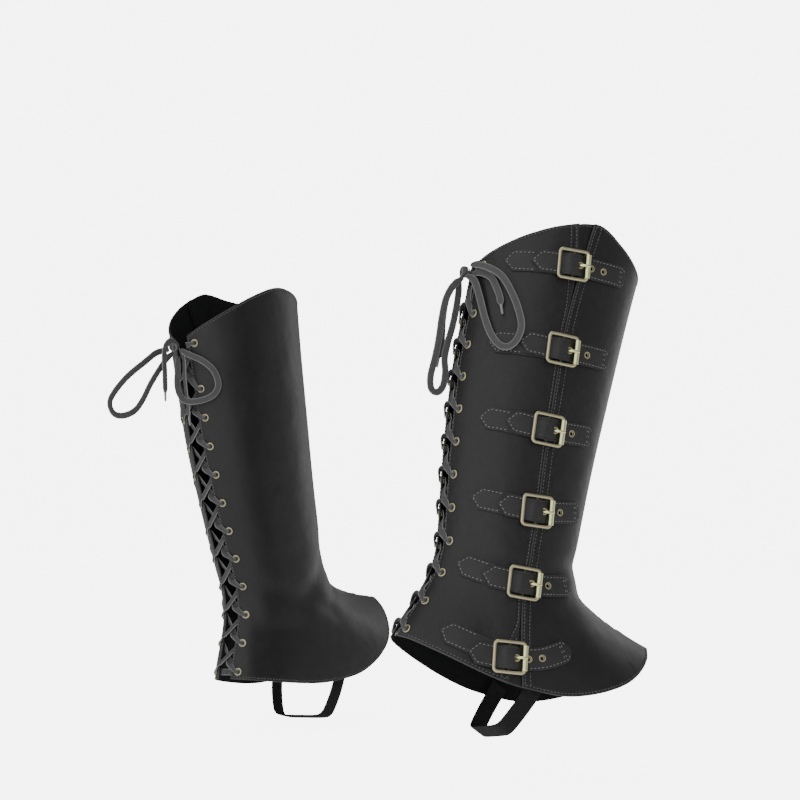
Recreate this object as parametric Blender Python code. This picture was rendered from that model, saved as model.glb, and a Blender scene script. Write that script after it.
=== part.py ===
"""A pair of boot covers, laced up the back, with six buckled straps on each outer side.

Metres, +Z up. The wearer faces +X and the wearer's left is +Y. The origin lies midway between
the two calves that hold the covers up. Tables and shape functions are in millimetres and degrees.
Round a cover, angle 0 is the front, 180 the back, positive on the outer side and negative on the
inner side. A level above 0 is a height above the ankle ring in mm. A level from 0 down to -1 is
the share of the way from the ankle ring to the hem.
"""

import math
from collections import namedtuple

import bmesh
import bpy
from mathutils import Euler, Matrix, Vector

MM = 0.001

# Small steps that slopes of the shape are taken over: degrees, mm of height and share of the skirt
ANGLE_STEP = 0.5
HEIGHT_STEP = 1.0
SHARE_STEP = 0.01
SOLVER_ROUNDS = 3
HALVINGS = 24
BACK_ANGLES = (135.0, 180.0)

# Cloth walls and seams, mm
WALL = 2.0
LAYER_GAP = 0.6

# Half of the laced gap at the back, mm, and the angle that stands for it at the top edge
HALF_GAP = 9.0
TOP_BACK_ANGLE = 171.0

# Columns of the panel meshes beyond the laced strip
FRONT_COLUMNS = 16
BACK_COLUMNS = 6

# Eyelets up each back edge, mm
EYELET_OUT = 16.5
EYELET_COUNT = 12
EYELET_PITCH = 31.0
LOWEST_EYELET = 8.0
TOP_EYELET_EXTRA = 18.0
EYELET_HOLE = 5.0
EYELET_SIDES = 8
EYELET_SEARCH_STEPS = 100

# Run of the skirt from ankle to hem
ANKLE_PULL = 1.29
HEM_PULL = 0.95
FRONT_RUN = -21.7
BACK_RUN = -109.0
RUN_POWER = 1.5
WIDTH_RATIO = 0.70

Shank = namedtuple("Shank", "height half_depth centre")
SHANK = (
    Shank(0, 65.0, 7.0),
    Shank(75, 70.5, 8.5),
    Shank(155, 76.0, 13.0),
    Shank(225, 78.5, 20.0),
    Shank(310, 82.0, 30.0),
)

Hem = namedtuple("Hem", "angle forward out height")
HEM = (
    Hem(0, 158.0, 0.0, -75.5),
    Hem(15, 151.5, 17.0, -88.0),
    Hem(30, 138.5, 33.0, -103.0),
    Hem(45, 121.0, 45.0, -116.5),
    Hem(60, 98.0, 51.5, -127.5),
    Hem(80, 65.0, 54.0, -136.5),
    Hem(100, 37.0, 54.0, -137.0),
    Hem(125, -6.0, 50.0, -131.0),
    Hem(150, -56.0, 38.0, -115.0),
    Hem(165, -83.0, 22.0, -105.0),
    Hem(180, -93.0, 0.0, -101.0),
)

TopEdge = namedtuple("TopEdge", "angle outer inner")
TOP_EDGE = (
    TopEdge(0, 272.0, 272.0),
    TopEdge(35, 281.0, 279.0),
    TopEdge(60, 294.0, 291.0),
    TopEdge(80, 306.0, 298.0),
    TopEdge(105, 299.0, 294.0),
    TopEdge(125, 288.0, 286.0),
    TopEdge(150, 273.0, 275.0),
    TopEdge(171, 262.0, 265.0),
)

# Edges of the two panels at the outer side. Station -1 is the hem, 0 the ankle, 1 the top edge.
Seam = namedtuple("Seam", "station rear_edge front_edge")
SEAM = (
    Seam(-1.0, 120.0, 112.5),
    Seam(-0.82, 118.0, 113.5),
    Seam(-0.64, 111.5, 109.5),
    Seam(-0.39, 99.1, 98.6),
    Seam(-0.14, 86.5, 86.0),
    Seam(0.03, 84.5, 84.0),
    Seam(0.27, 86.0, 85.5),
    Seam(0.53, 88.0, 87.5),
    Seam(0.66, 89.2, 88.7),
    Seam(0.79, 89.0, 87.8),
    Seam(0.9, 91.5, 86.5),
    Seam(1.0, 95.5, 85.0),
)
GUSSET_LAP = 5.5
GUSSET_GAP = 0.9
GUSSET_THICK = 1.3
GUSSET_COLUMNS = 4

# Straps, from the top one down: angles of the patch's point, the strap's point, the buckle and the
# tail's end, their levels, and distances of the free holes in front of the buckle's centre
Strap = namedtuple("Strap", "patch_tip strap_tip buckle tail_tip"
                   " patch_level strap_level buckle_level tail_level holes")
STRAPS = (
    Strap(142.5, 122.0, 94.0, 48.5, 258.0, 260.0, 260.5, 264.0, (18.5, 32.0)),
    Strap(142.5, 118.5, 88.5, 44.5, 178.0, 180.5, 178.0, 182.0, (27.0,)),
    Strap(140.0, 118.5, 87.5, 43.0, 106.0, 105.0, 101.5, 107.0, (25.5,)),
    Strap(139.5, 117.0, 86.0, 39.0, 31.5, 27.5, 25.5, 35.5, (25.0,)),
    Strap(149.5, 127.5, 93.5, 42.0, -0.215, -0.245, -0.255, -0.225, (24.5,)),
    Strap(154.5, 141.0, 121.0, 69.0, -0.815, -0.895, -0.825, -0.665, (18.0, 31.0)),
)
STRAP_WIDTH = 21.0
STRAP_THICK = 1.3
PATCH_THICK = 1.0
PATCH_END = 8.0
SECTION_STEP = 10.0
SECTION_CROWDING = 0.45
ROUTE_STEPS = 120
TAIL_BEND = 1.2
STRAP_HOLE = 4.4
STRAP_HOLE_SIDES = 6
CUTTER_REACH = 4.0
PRONG_HOLE = 6.2

Point = namedtuple("Point", "distance half_width")
TIP_SHAPE = (Point(0.0, 1.2), Point(9.5, STRAP_WIDTH / 2))
TAIL_SHAPE = (Point(0.0, 3.0), Point(5.5, STRAP_WIDTH / 2))
BLUNT_SHAPE = (Point(0.0, STRAP_WIDTH / 2), Point(1.0, STRAP_WIDTH / 2))

# Height of the strap's underside over the panel, along the strap from the buckle's centre
Lift = namedtuple("Lift", "distance height")
STRAP_LIFT = (
    Lift(-200.0, 4.3),
    Lift(-9.5, 4.3),
    Lift(-4.0, 7.7),
    Lift(5.0, 7.8),
    Lift(11.0, 4.0),
    Lift(16.0, 4.0),
    Lift(26.0, 2.9),
    Lift(200.0, 2.9),
)

# Share of the buckle's rise that the strap takes, by distance from the buckle's centre
Bridge = namedtuple("Bridge", "distance share")
BRIDGE = (Bridge(0.0, 1.0), Bridge(6.0, 1.0), Bridge(12.0, 0.0))

# Buckle, mm
BUCKLE_LENGTH = 31.5
BUCKLE_WIDTH = 30.5
BUCKLE_CORNER = 5.0
BUCKLE_HEIGHT = 7.6
WIRE = 3.2
WIRE_SIDES = 6
CORNER_STEPS = 2
BAR_DIAMETER = 2.0
BAR_DROP = 1.3
ROLLER_DIAMETER = 4.0
ROLLER_LENGTH = 22.5
ROLLER_SIDES = 6
PRONG_DIAMETER = 2.1
PRONG_SIDES = 4
PRONG_ROUTE = ((0.4, -1.3), (4.6, -1.5), (6.6, 0.6), (8.2, 2.1), (15.2, 2.6))

# Lace, mm
LACE_WIDTH = 7.0
LACE_THICK = 1.2
BUNCHED_WIDTH = 2.8
BUNCHED_THICK = 1.5
AGLET_LENGTH = 13.0
AGLET_DIAMETER = 2.6
AGLET_START = 2.0
LACE_STEP = 9.0
CURVE_PARTS = 12
KNOT_SIZE = (9.0, 12.0, 11.0)
KNOT_SEGMENTS = 8
KNOT_RINGS = 6

# One turn of the lace through an eyelet: its middle from the eyelet's centre, towards the gap and
# out of the cover, and the way its flat faces, in degrees from straight out towards the gap
Turn = namedtuple("Turn", "towards_gap height facing")
EYELET_TURN = (
    Turn(2.9, -2.0, 0),
    Turn(-0.2, -0.7, 45),
    Turn(-0.2, 3.3, 135),
    Turn(2.5, 4.1, 180),
)
# Where a strand crosses the gap: its distance from the gap's middle, its height over and under the
# other strand, and the turn of its flat that lets one lie on the other, in degrees
Crossing = namedtuple("Crossing", "out share over_height under_height width tilt")
LACE_CROSSING = (
    Crossing(7.5, 0.25, 3.9, 4.5, 5.8, 0),
    Crossing(3.8, 0.35, 4.2, -0.1, 6.0, -22),
    Crossing(-4.0, 0.66, 0.4, -1.8, 6.0, 28),
    Crossing(-6.6, 0.79, -1.9, -1.5, 4.5, 0),
)
LACE_BAR_END = 0.3
LACE_BAR_HEIGHT = -1.5
LACE_TOP_OUT = 8.2
LACE_TOP_HEIGHT = 3.9
LACE_TOP_DROP = 1.0

# Elastic stirrup strap, mm: its middle line across the foot, and its depth under the hem
STIRRUP_ANGLE = 105.0
STIRRUP_WIDTH = 16.0
STIRRUP_THICK = 1.5
STIRRUP_SLOPE = 27.0
Stirrup = namedtuple("Stirrup", "out depth")
STIRRUP = (
    Stirrup(49.0, -12.0),
    Stirrup(49.0, 0.0),
    Stirrup(46.0, 16.0),
    Stirrup(41.0, 31.0),
    Stirrup(36.5, 38.0),
    Stirrup(28.0, 41.0),
    Stirrup(0.0, 41.5),
)

# Where each cover stands: its ankle in the wearer's frame (mm) and its turns (degrees)
Posture = namedtuple("Posture", "name side ankle sideways forward toe_out knot")
POSTURES = (
    Posture("right", -1, (-1.0, -215.0, -123.0), -10.34, 10.67, -16.0, (-67.0, 0.0, 251.0)),
    Posture("left", 1, (-27.0, 191.0, -169.0), -5.31, -10.41, 16.0, (-68.0, 0.0, 257.0)),
)

# Free lace of each bow: (forward, out, height) in the cover's own frame, from the knot outwards
BOWS = {
    "right": {
        "near_loop": (
            (-64.0, 9.5, 257.0), (-56.0, 30.0, 251.0), (-44.0, 44.5, 240.0), (-32.0, 52.0, 219.0),
            (-24.0, 55.5, 197.0), (-25.0, 55.0, 183.0), (-31.0, 52.0, 173.5), (-39.0, 47.5, 173.5),
            (-46.5, 41.5, 183.0), (-52.5, 34.5, 200.0), (-58.0, 27.0, 222.0), (-62.5, 19.5, 238.5),
            (-67.5, 8.5, 245.5),
        ),
        "far_loop": (
            (-69.5, 5.0, 243.5), (-79.0, 8.5, 232.0), (-84.5, 9.5, 218.0), (-86.0, 8.5, 200.0),
            (-86.0, 7.0, 178.0), (-87.0, 5.5, 160.0), (-88.5, 4.0, 143.0), (-86.0, 3.0, 131.5),
            (-79.5, 2.5, 129.5), (-74.5, 2.0, 137.0), (-74.0, 2.0, 150.0), (-76.5, 2.5, 163.0),
            (-75.5, 2.5, 177.0), (-72.5, 2.0, 196.0), (-70.5, 1.0, 217.0), (-70.0, 0.0, 241.0),
        ),
        "near_tail": (
            (-62.0, 10.5, 248.0), (-57.5, 22.5, 246.5), (-50.5, 32.0, 241.0), (-46.5, 37.0, 232.0),
            (-43.0, 40.5, 222.5), (-41.0, 42.5, 213.0),
        ),
        "far_tail": (
            (-72.0, -4.0, 243.0), (-79.0, -5.0, 226.0), (-81.0, -4.0, 205.0), (-80.0, -3.0, 182.0),
            (-81.0, -2.0, 163.0),
        ),
    },
    "left": {
        "far_loop": (
            (-73.5, 3.0, 254.5), (-90.0, 4.5, 254.0), (-109.0, 4.0, 247.0), (-138.0, 3.0, 235.5),
            (-161.0, 2.0, 221.5), (-169.5, 0.5, 212.0), (-167.0, -0.5, 201.5), (-156.0, -1.5, 197.5),
            (-141.0, -2.5, 200.0), (-128.5, -3.5, 209.0), (-115.0, -4.5, 223.0), (-99.0, -5.0, 236.5),
            (-86.0, -4.5, 245.5), (-74.0, -3.0, 250.5),
        ),
        "near_loop": (
            (-67.0, -8.0, 252.0), (-64.5, -17.0, 245.0), (-59.0, -27.5, 237.5), (-53.5, -35.5, 226.5),
            (-51.5, -38.5, 214.0), (-53.5, -37.5, 204.0), (-59.5, -31.5, 197.5), (-68.5, -19.0, 195.5),
            (-73.5, -6.0, 198.5), (-75.0, -1.0, 207.0), (-74.5, -0.5, 218.0), (-72.5, -2.5, 230.0),
            (-70.0, -4.5, 245.5),
        ),
        "far_tail": (
            (-72.0, -7.5, 261.0), (-80.0, -10.0, 263.5), (-88.0, -10.5, 260.0), (-93.0, -10.0, 250.0),
            (-96.5, -9.5, 232.0), (-101.0, -9.0, 211.0),
        ),
        "near_tail": (
            (-62.8, -6.5, 247.0), (-66.0, -7.5, 236.0), (-68.0, -6.5, 222.0), (-69.0, -5.5, 208.0),
            (-69.5, -4.5, 194.0), (-70.0, -3.5, 180.0),
        ),
    },
}
# Direction that the flat of each free lace faces, on the outer side
LACE_FACES = {
    "right": {
        "near_loop": (-0.55, 0.83, 0.05),
        "far_loop": (0.0, 1.0, 0.0),
        "near_tail": (-0.62, 0.78, 0.0),
        "far_tail": (0.0, 1.0, 0.0),
    },
    "left": {
        "near_loop": (-0.55, -0.83, 0.05),
        "far_loop": (0.0, 1.0, 0.0),
        "near_tail": (-0.98, 0.2, 0.0),
        "far_tail": (0.0, 1.0, 0.0),
    },
}

Finish = namedtuple("Finish", "name colour roughness metallic")
LEATHER = Finish("black leather", (0.018, 0.018, 0.02), 0.45, 0.0)
STRAP_LEATHER = Finish("strap leather", (0.022, 0.022, 0.024), 0.42, 0.0)
LACE_COTTON = Finish("charcoal cotton", (0.05, 0.05, 0.052), 0.85, 0.0)
ELASTIC = Finish("black elastic", (0.015, 0.015, 0.016), 0.8, 0.0)
BRASS = Finish("antique brass", (0.62, 0.56, 0.36), 0.32, 1.0)


def clear_scene():
    """Remove every object that the file holds."""
    for item in list(bpy.data.objects):
        bpy.data.objects.remove(item, do_unlink=True)


def material_of(finish):
    """The material with a finish's colour, roughness and metallic value."""
    found = bpy.data.materials.get(finish.name)
    if found:
        return found
    made = bpy.data.materials.new(finish.name)
    made.use_nodes = True
    shader = made.node_tree.nodes["Principled BSDF"]
    shader.inputs["Base Color"].default_value = (*finish.colour, 1.0)
    shader.inputs["Roughness"].default_value = finish.roughness
    shader.inputs["Metallic"].default_value = finish.metallic
    return made


def smooth(table, column, place):
    """Value of a column on a smooth curve through the table's rows, at a place in its first column."""
    keys = [row[0] for row in table]
    values = [getattr(row, column) for row in table]
    last = len(keys) - 2
    index = 0
    while index < last and place > keys[index + 1]:
        index += 1
    rises = [(values[i + 1] - values[i]) / (keys[i + 1] - keys[i]) for i in range(last + 1)]

    def slope(i):
        if i == 0:
            return rises[0]
        if i > last:
            return rises[last]
        before = keys[i] - keys[i - 1]
        after = keys[i + 1] - keys[i]
        return (rises[i - 1] * after + rises[i] * before) / (before + after)

    step = keys[index + 1] - keys[index]
    t = (place - keys[index]) / step
    return ((2 * t ** 3 - 3 * t ** 2 + 1) * values[index]
            + (t ** 3 - 2 * t ** 2 + t) * step * slope(index)
            + (3 * t ** 2 - 2 * t ** 3) * values[index + 1]
            + (t ** 3 - t ** 2) * step * slope(index + 1))


def straight(table, column, place):
    """Value of a column on straight lines between the table's rows."""
    low = table[0]
    high = table[-1]
    for first, second in zip(table, table[1:]):
        if first[0] <= place <= second[0]:
            low = first
            high = second
            break
    span = high[0] - low[0]
    t = min(max((place - low[0]) / span, 0.0), 1.0)
    return getattr(low, column) + t * (getattr(high, column) - getattr(low, column))


def shank_point(angle, height):
    """Point on the shank's oval section at a height above the ankle ring."""
    turn = math.radians(angle)
    half_depth = smooth(SHANK, "half_depth", height)
    centre = smooth(SHANK, "centre", height)
    return Vector((centre + half_depth * math.cos(turn),
                   WIDTH_RATIO * half_depth * math.sin(turn),
                   height))


def skirt_point(angle, share):
    """Point between the ankle ring (share 0) and the hem (share 1), over the instep and heel."""
    turn = math.radians(angle)
    ankle = shank_point(angle, 0.0)
    upward = (shank_point(angle, SHANK[1].height) - ankle) / SHANK[1].height
    size = abs(angle)
    side = math.copysign(1.0, angle)
    hem = Vector((smooth(HEM, "forward", size), side * smooth(HEM, "out", size), smooth(HEM, "height", size)))
    reach = math.hypot(hem.x - ankle.x, hem.z - ankle.z)
    frontness = (1 + math.cos(turn)) / 2
    run = math.radians(BACK_RUN + (FRONT_RUN - BACK_RUN) * frontness ** RUN_POWER)
    leave = upward * (-reach * ANKLE_PULL)
    arrive = Vector((math.cos(run), 0.0, math.sin(run))) * (reach * HEM_PULL)
    t = share
    return ((2 * t ** 3 - 3 * t ** 2 + 1) * ankle + (t ** 3 - 2 * t ** 2 + t) * leave
            + (3 * t ** 2 - 2 * t ** 3) * hem + (t ** 3 - t ** 2) * arrive)


def cover_point(angle, level):
    """Point on the panels' inner face."""
    if level > 0:
        return shank_point(angle, level)
    return skirt_point(angle, -level)


def outward(angle, level):
    """Unit vector out of the cover."""
    below = level - HEIGHT_STEP if level > HEIGHT_STEP else level - SHARE_STEP
    above = level + HEIGHT_STEP if level >= 0 else level + SHARE_STEP
    round_way = cover_point(angle + ANGLE_STEP, level) - cover_point(angle - ANGLE_STEP, level)
    up_way = cover_point(angle, above) - cover_point(angle, below)
    return round_way.cross(up_way).normalized()


def raised_point(angle, level, height):
    """Point at a height over the panels' inner face."""
    return cover_point(angle, level) + outward(angle, level) * height


def raised_level(angle, level, distance):
    """Level that lies a distance further up the cover."""
    if level > 0:
        return level + distance
    rise = cover_point(angle, level + SHARE_STEP) - cover_point(angle, level - SHARE_STEP)
    return level + distance * 2 * SHARE_STEP / rise.length


def moved(angle, level, shift):
    """Angle and level after a shift along the cover, within one side of the ankle ring."""
    level_step = -HEIGHT_STEP if level > 0 else -SHARE_STEP
    target = cover_point(angle, level) + shift
    for _ in range(SOLVER_ROUNDS):
        here = cover_point(angle, level)
        by_angle = (cover_point(angle + ANGLE_STEP, level) - here) / ANGLE_STEP
        by_level = (cover_point(angle, level + level_step) - here) / level_step
        gap = target - here
        both = by_angle.dot(by_level)
        spread_out = by_angle.length_squared * by_level.length_squared - both ** 2
        angle += (gap.dot(by_angle) * by_level.length_squared - gap.dot(by_level) * both) / spread_out
        level += (gap.dot(by_level) * by_angle.length_squared - gap.dot(by_angle) * both) / spread_out
    return angle, level


def back_angle(level, out):
    """Angle near the back at which the cover is a given distance out from its middle plane."""
    low, high = BACK_ANGLES
    for _ in range(HALVINGS):
        middle = (low + high) / 2
        if cover_point(middle, level).y > abs(out):
            low = middle
        else:
            high = middle
    return math.copysign((low + high) / 2, out)


def top_height(angle):
    """Height of the top edge above the ankle ring."""
    column = "outer" if angle > 0 else "inner"
    return smooth(TOP_EDGE, column, abs(angle))


def station_level(angle, station):
    """Level of a station: -1 is the hem, 0 the ankle ring and 1 the top edge."""
    if station > 0:
        return station * top_height(angle)
    return station


def rear_edge(station):
    """Angle of the outer back panel's edge at the outer side."""
    return smooth(SEAM, "rear_edge", station)


def front_edge(station):
    """Angle of the front panel's edge at the outer side."""
    return smooth(SEAM, "front_edge", station)


def mesh_object(name, mesh, finish, parent):
    """A named object from a mesh, under its cover."""
    made = bpy.data.objects.new(name, mesh)
    bpy.context.collection.objects.link(made)
    made.parent = parent
    mesh.materials.clear()
    mesh.materials.append(material_of(finish))
    return made


def finished_mesh(name, shape, sharp_angle=35.0):
    """Turn the faces out, smooth the round ones and keep the result as a mesh."""
    bmesh.ops.recalc_face_normals(shape, faces=shape.faces)
    mesh = bpy.data.meshes.new(name)
    shape.to_mesh(mesh)
    shape.free()
    mesh.shade_smooth()
    mesh.set_sharp_from_angle(angle=math.radians(sharp_angle))
    return mesh


def in_metres(point, side):
    """A cover point in the cover's own frame, in metres, mirrored for its side."""
    return Vector((point.x, side * point.y, point.z)) * MM


def sheet_mesh(name, outer, inner, side):
    """A closed wall between two grids of points with the same rows and columns."""
    shape = bmesh.new()
    rows = len(outer)
    columns = len(outer[0])
    faces_out = [[shape.verts.new(in_metres(p, side)) for p in row] for row in outer]
    faces_in = [[shape.verts.new(in_metres(p, side)) for p in row] for row in inner]
    for grid in (faces_out, faces_in):
        for r in range(rows - 1):
            for c in range(columns - 1):
                shape.faces.new((grid[r][c], grid[r][c + 1], grid[r + 1][c + 1], grid[r + 1][c]))
    for r in (0, rows - 1):
        for c in range(columns - 1):
            shape.faces.new((faces_out[r][c], faces_out[r][c + 1], faces_in[r][c + 1], faces_in[r][c]))
    for c in (0, columns - 1):
        for r in range(rows - 1):
            shape.faces.new((faces_out[r][c], faces_out[r + 1][c], faces_in[r + 1][c], faces_in[r][c]))
    return finished_mesh(name, shape)


def loft_mesh(name, sections, cyclic=False, sharp_angle=35.0):
    """A closed skin over rings of points, with flat ends unless it runs round."""
    shape = bmesh.new()
    rings = [[shape.verts.new(point) for point in section] for section in sections]
    pairs = list(zip(rings, rings[1:]))
    if cyclic:
        pairs.append((rings[-1], rings[0]))
    count = len(rings[0])
    for first, second in pairs:
        for i in range(count):
            j = (i + 1) % count
            shape.faces.new((first[i], first[j], second[j], second[i]))
    if not cyclic:
        shape.faces.new(rings[0])
        shape.faces.new(rings[-1])
    return finished_mesh(name, shape, sharp_angle)


def circle_section(centre, first, second, radius, sides):
    """A ring of points round a centre, in the plane of two unit vectors."""
    ring = []
    for i in range(sides):
        turn = 2 * math.pi * (i + 0.5) / sides
        ring.append(centre + first * (radius * math.cos(turn)) + second * (radius * math.sin(turn)))
    return ring


def flat_section(centre, across, facing, width, thick):
    """The four corners of a flat band's section."""
    half_across = across * (width / 2)
    half_facing = facing * (thick / 2)
    return [centre - half_across - half_facing, centre + half_across - half_facing,
            centre + half_across + half_facing, centre - half_across + half_facing]


def stations(back_top):
    """Rows of a panel: hem, ankle, eyelets, one between each two eyelets of the skirt, top edge."""
    levels = eyelet_levels()
    rows = {-1.0, 0.0, 1.0}
    rows.update(level if level < 0 else level / back_top for level in levels)
    skirt = [level for level in levels if level < 0]
    rows.update((low + high) / 2 for low, high in zip(skirt, skirt[1:]))
    return sorted(rows)


def grid_mesh(name, side, angles_at, rows, low, high):
    """A wall of the cover over rows of angles, between two heights over the panels' inner face."""
    outer = []
    inner = []
    for station in rows:
        spots = [(angle, station_level(angle, station)) for angle in angles_at(station)]
        outer.append([raised_point(angle, level, high) for angle, level in spots])
        inner.append([raised_point(angle, level, low) for angle, level in spots])
    return sheet_mesh(name, outer, inner, side)


def spread(start, finish, parts):
    """Even steps from one angle to another, with both ends."""
    return [start + (finish - start) * i / parts for i in range(parts + 1)]


def front_angles(station):
    """Columns of the front panel, from its laced edge round the front to the outer side."""
    level = station_level(-TOP_BACK_ANGLE, station)
    laced = back_angle(level, -EYELET_OUT)
    return [back_angle(level, -HALF_GAP), *spread(laced, front_edge(station), FRONT_COLUMNS)]


def back_angles(station):
    """Columns of the outer back panel, from the outer side to its laced edge."""
    level = station_level(TOP_BACK_ANGLE, station)
    laced = back_angle(level, EYELET_OUT)
    return [*spread(rear_edge(station), laced, BACK_COLUMNS), back_angle(level, HALF_GAP)]


def gusset_angles(station):
    """Columns of the gusset, which laps under both panels."""
    return spread(front_edge(station) - GUSSET_LAP, rear_edge(station) + GUSSET_LAP, GUSSET_COLUMNS)


def eyelet_point(level):
    """Point on the outer row of eyelets at a level."""
    return cover_point(back_angle(level, EYELET_OUT), level)


def eyelet_levels():
    """Levels of the eyelets, the lowest first, stepped along the back edge."""
    spots = spread(-1.0, 0.0, EYELET_SEARCH_STEPS) + spread(0.0, SHANK[-1].height, EYELET_SEARCH_STEPS)[1:]
    levels = []
    travelled = 0.0
    wanted = LOWEST_EYELET
    before = eyelet_point(spots[0])
    for low, high in zip(spots, spots[1:]):
        here = eyelet_point(high)
        step = (here - before).length
        while len(levels) < EYELET_COUNT and travelled + step >= wanted:
            levels.append(low + (high - low) * (wanted - travelled) / step)
            wanted += EYELET_PITCH
            if len(levels) == EYELET_COUNT - 1:
                wanted += TOP_EYELET_EXTRA
        travelled += step
        before = here
    return levels


def hole_cutter(name, spots, diameter, sides, side, parent):
    """Prisms that stand through the cloth at some (point, outward) spots, hidden from view."""
    shape = bmesh.new()
    for point, facing in spots:
        across = facing.cross(Vector((0, 0, 1))).normalized()
        along = facing.cross(across)
        ends = []
        for height in (-CUTTER_REACH, CUTTER_REACH):
            ring = circle_section(point + facing * height, across, along, diameter / 2, sides)
            ends.append([shape.verts.new(in_metres(p, side)) for p in ring])
        for i in range(sides):
            j = (i + 1) % sides
            shape.faces.new((ends[0][i], ends[0][j], ends[1][j], ends[1][i]))
        shape.faces.new(ends[0])
        shape.faces.new(ends[1])
    cutter = mesh_object(name, finished_mesh(name, shape), LEATHER, parent)
    cutter.hide_render = True
    cutter.display_type = "WIRE"
    return cutter


def cut(target, cutter):
    """Cut a piece by a hidden one."""
    hole = target.modifiers.new("holes", "BOOLEAN")
    hole.operation = "DIFFERENCE"
    hole.solver = "EXACT"
    hole.object = cutter


def add_panels(cover, side, label):
    """Front panel, outer back panel and the gusset under the gap between them."""
    outer_rows = stations(top_height(TOP_BACK_ANGLE))
    inner_rows = stations(top_height(-TOP_BACK_ANGLE))
    front = grid_mesh(label + "_front_panel", side, front_angles, inner_rows, 0.0, WALL)
    back = grid_mesh(label + "_outer_back_panel", side, back_angles, outer_rows, 0.0, WALL)
    gusset = grid_mesh(label + "_side_gusset", side, gusset_angles, outer_rows,
                       -GUSSET_GAP - GUSSET_THICK, -GUSSET_GAP)
    front_object = mesh_object(label + "_front_panel", front, LEATHER, cover)
    back_object = mesh_object(label + "_outer_back_panel", back, LEATHER, cover)
    mesh_object(label + "_side_gusset", gusset, LEATHER, cover)
    for panel, out in ((front_object, -EYELET_OUT), (back_object, EYELET_OUT)):
        spots = []
        for level in eyelet_levels():
            angle = back_angle(level, out)
            spots.append((raised_point(angle, level, WALL / 2), outward(angle, level)))
        cutter = hole_cutter(panel.name + "_cutter", spots, EYELET_HOLE, EYELET_SIDES, side, cover)
        cut(panel, cutter)


def strap_route(row, tip, tip_level):
    """Spots (distance from the buckle, angle, level) along a strap, from a tip behind the buckle."""

    def level_at(angle):
        if angle > row.buckle:
            share = (angle - row.buckle) / (tip - row.buckle)
            return row.buckle_level + (tip_level - row.buckle_level) * share
        share = (row.buckle - angle) / (row.buckle - row.tail_tip)
        return row.buckle_level + (row.tail_level - row.buckle_level) * share ** TAIL_BEND

    route = []
    distance = 0.0
    before = None
    for angle in spread(tip, row.tail_tip, ROUTE_STEPS):
        here = cover_point(angle, level_at(angle))
        if before is not None:
            distance += (here - before).length
        route.append((distance, angle, level_at(angle)))
        before = here
    at_buckle = min(route, key=lambda spot: abs(spot[1] - row.buckle))[0]
    return [(distance - at_buckle, angle, level) for distance, angle, level in route]


def on_route(route, distance):
    """Angle and level at a distance along a strap's route."""
    for first, second in zip(route, route[1:]):
        if first[0] <= distance <= second[0]:
            t = (distance - first[0]) / (second[0] - first[0])
            return first[1] + t * (second[1] - first[1]), first[2] + t * (second[2] - first[2])
    end = route[0] if distance < route[0][0] else route[-1]
    return end[1], end[2]


def band_sections(route, start, finish, underside, thick, start_shape, end_shape, side):
    """Sections of a band that lies along a route, with shaped ends."""
    marks = {start, finish}
    marks.update(start + point.distance for point in start_shape)
    marks.update(finish - point.distance for point in end_shape)
    marks.update(lift.distance for lift in STRAP_LIFT if start < lift.distance < finish)
    count = max(1, int((finish - start) / SECTION_STEP))
    for i in range(1, count):
        spot = start + (finish - start) * i / count
        if min(abs(spot - mark) for mark in marks) > SECTION_STEP * SECTION_CROWDING:
            marks.add(spot)
    sections = []
    for distance in sorted(marks):
        half = min(straight(start_shape, "half_width", distance - start),
                   straight(end_shape, "half_width", finish - distance))
        height = underside(distance)
        across = spot_frame(route, distance, 0.0)[1:]
        shift = across[1].cross(across[0]) * half
        low = moved(*on_route(route, distance), -shift)
        high = moved(*on_route(route, distance), shift)
        ring = [raised_point(*low, height), raised_point(*high, height),
                raised_point(*high, height + thick), raised_point(*low, height + thick)]
        sections.append([in_metres(point, side) for point in ring])
    return sections


def spot_frame(route, distance, height):
    """Point over the panel, forward way and outward way at a distance along a strap."""
    angle, level = on_route(route, distance)
    ahead_angle, ahead_level = on_route(route, distance + 1.0)
    facing = outward(angle, level)
    ahead = cover_point(ahead_angle, ahead_level) - cover_point(angle, level)
    ahead = (ahead - facing * ahead.dot(facing)).normalized()
    return cover_point(angle, level) + facing * height, ahead, facing


def buckle_frame(route):
    """Centre, forward way, outward way and rise of a buckle, which spans the strap like a bridge."""
    middle, ahead, facing = spot_frame(route, 0.0, 0.0)
    front = spot_frame(route, BUCKLE_LENGTH / 2, 0.0)[0]
    rear = spot_frame(route, -BUCKLE_LENGTH / 2, 0.0)[0]
    ahead = (front - rear).normalized()
    facing = (facing - ahead * facing.dot(ahead)).normalized()
    rise = max(0.0, ((front + rear) / 2 - middle).dot(facing))
    return middle + facing * (BUCKLE_HEIGHT + rise), ahead, facing, rise


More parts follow.
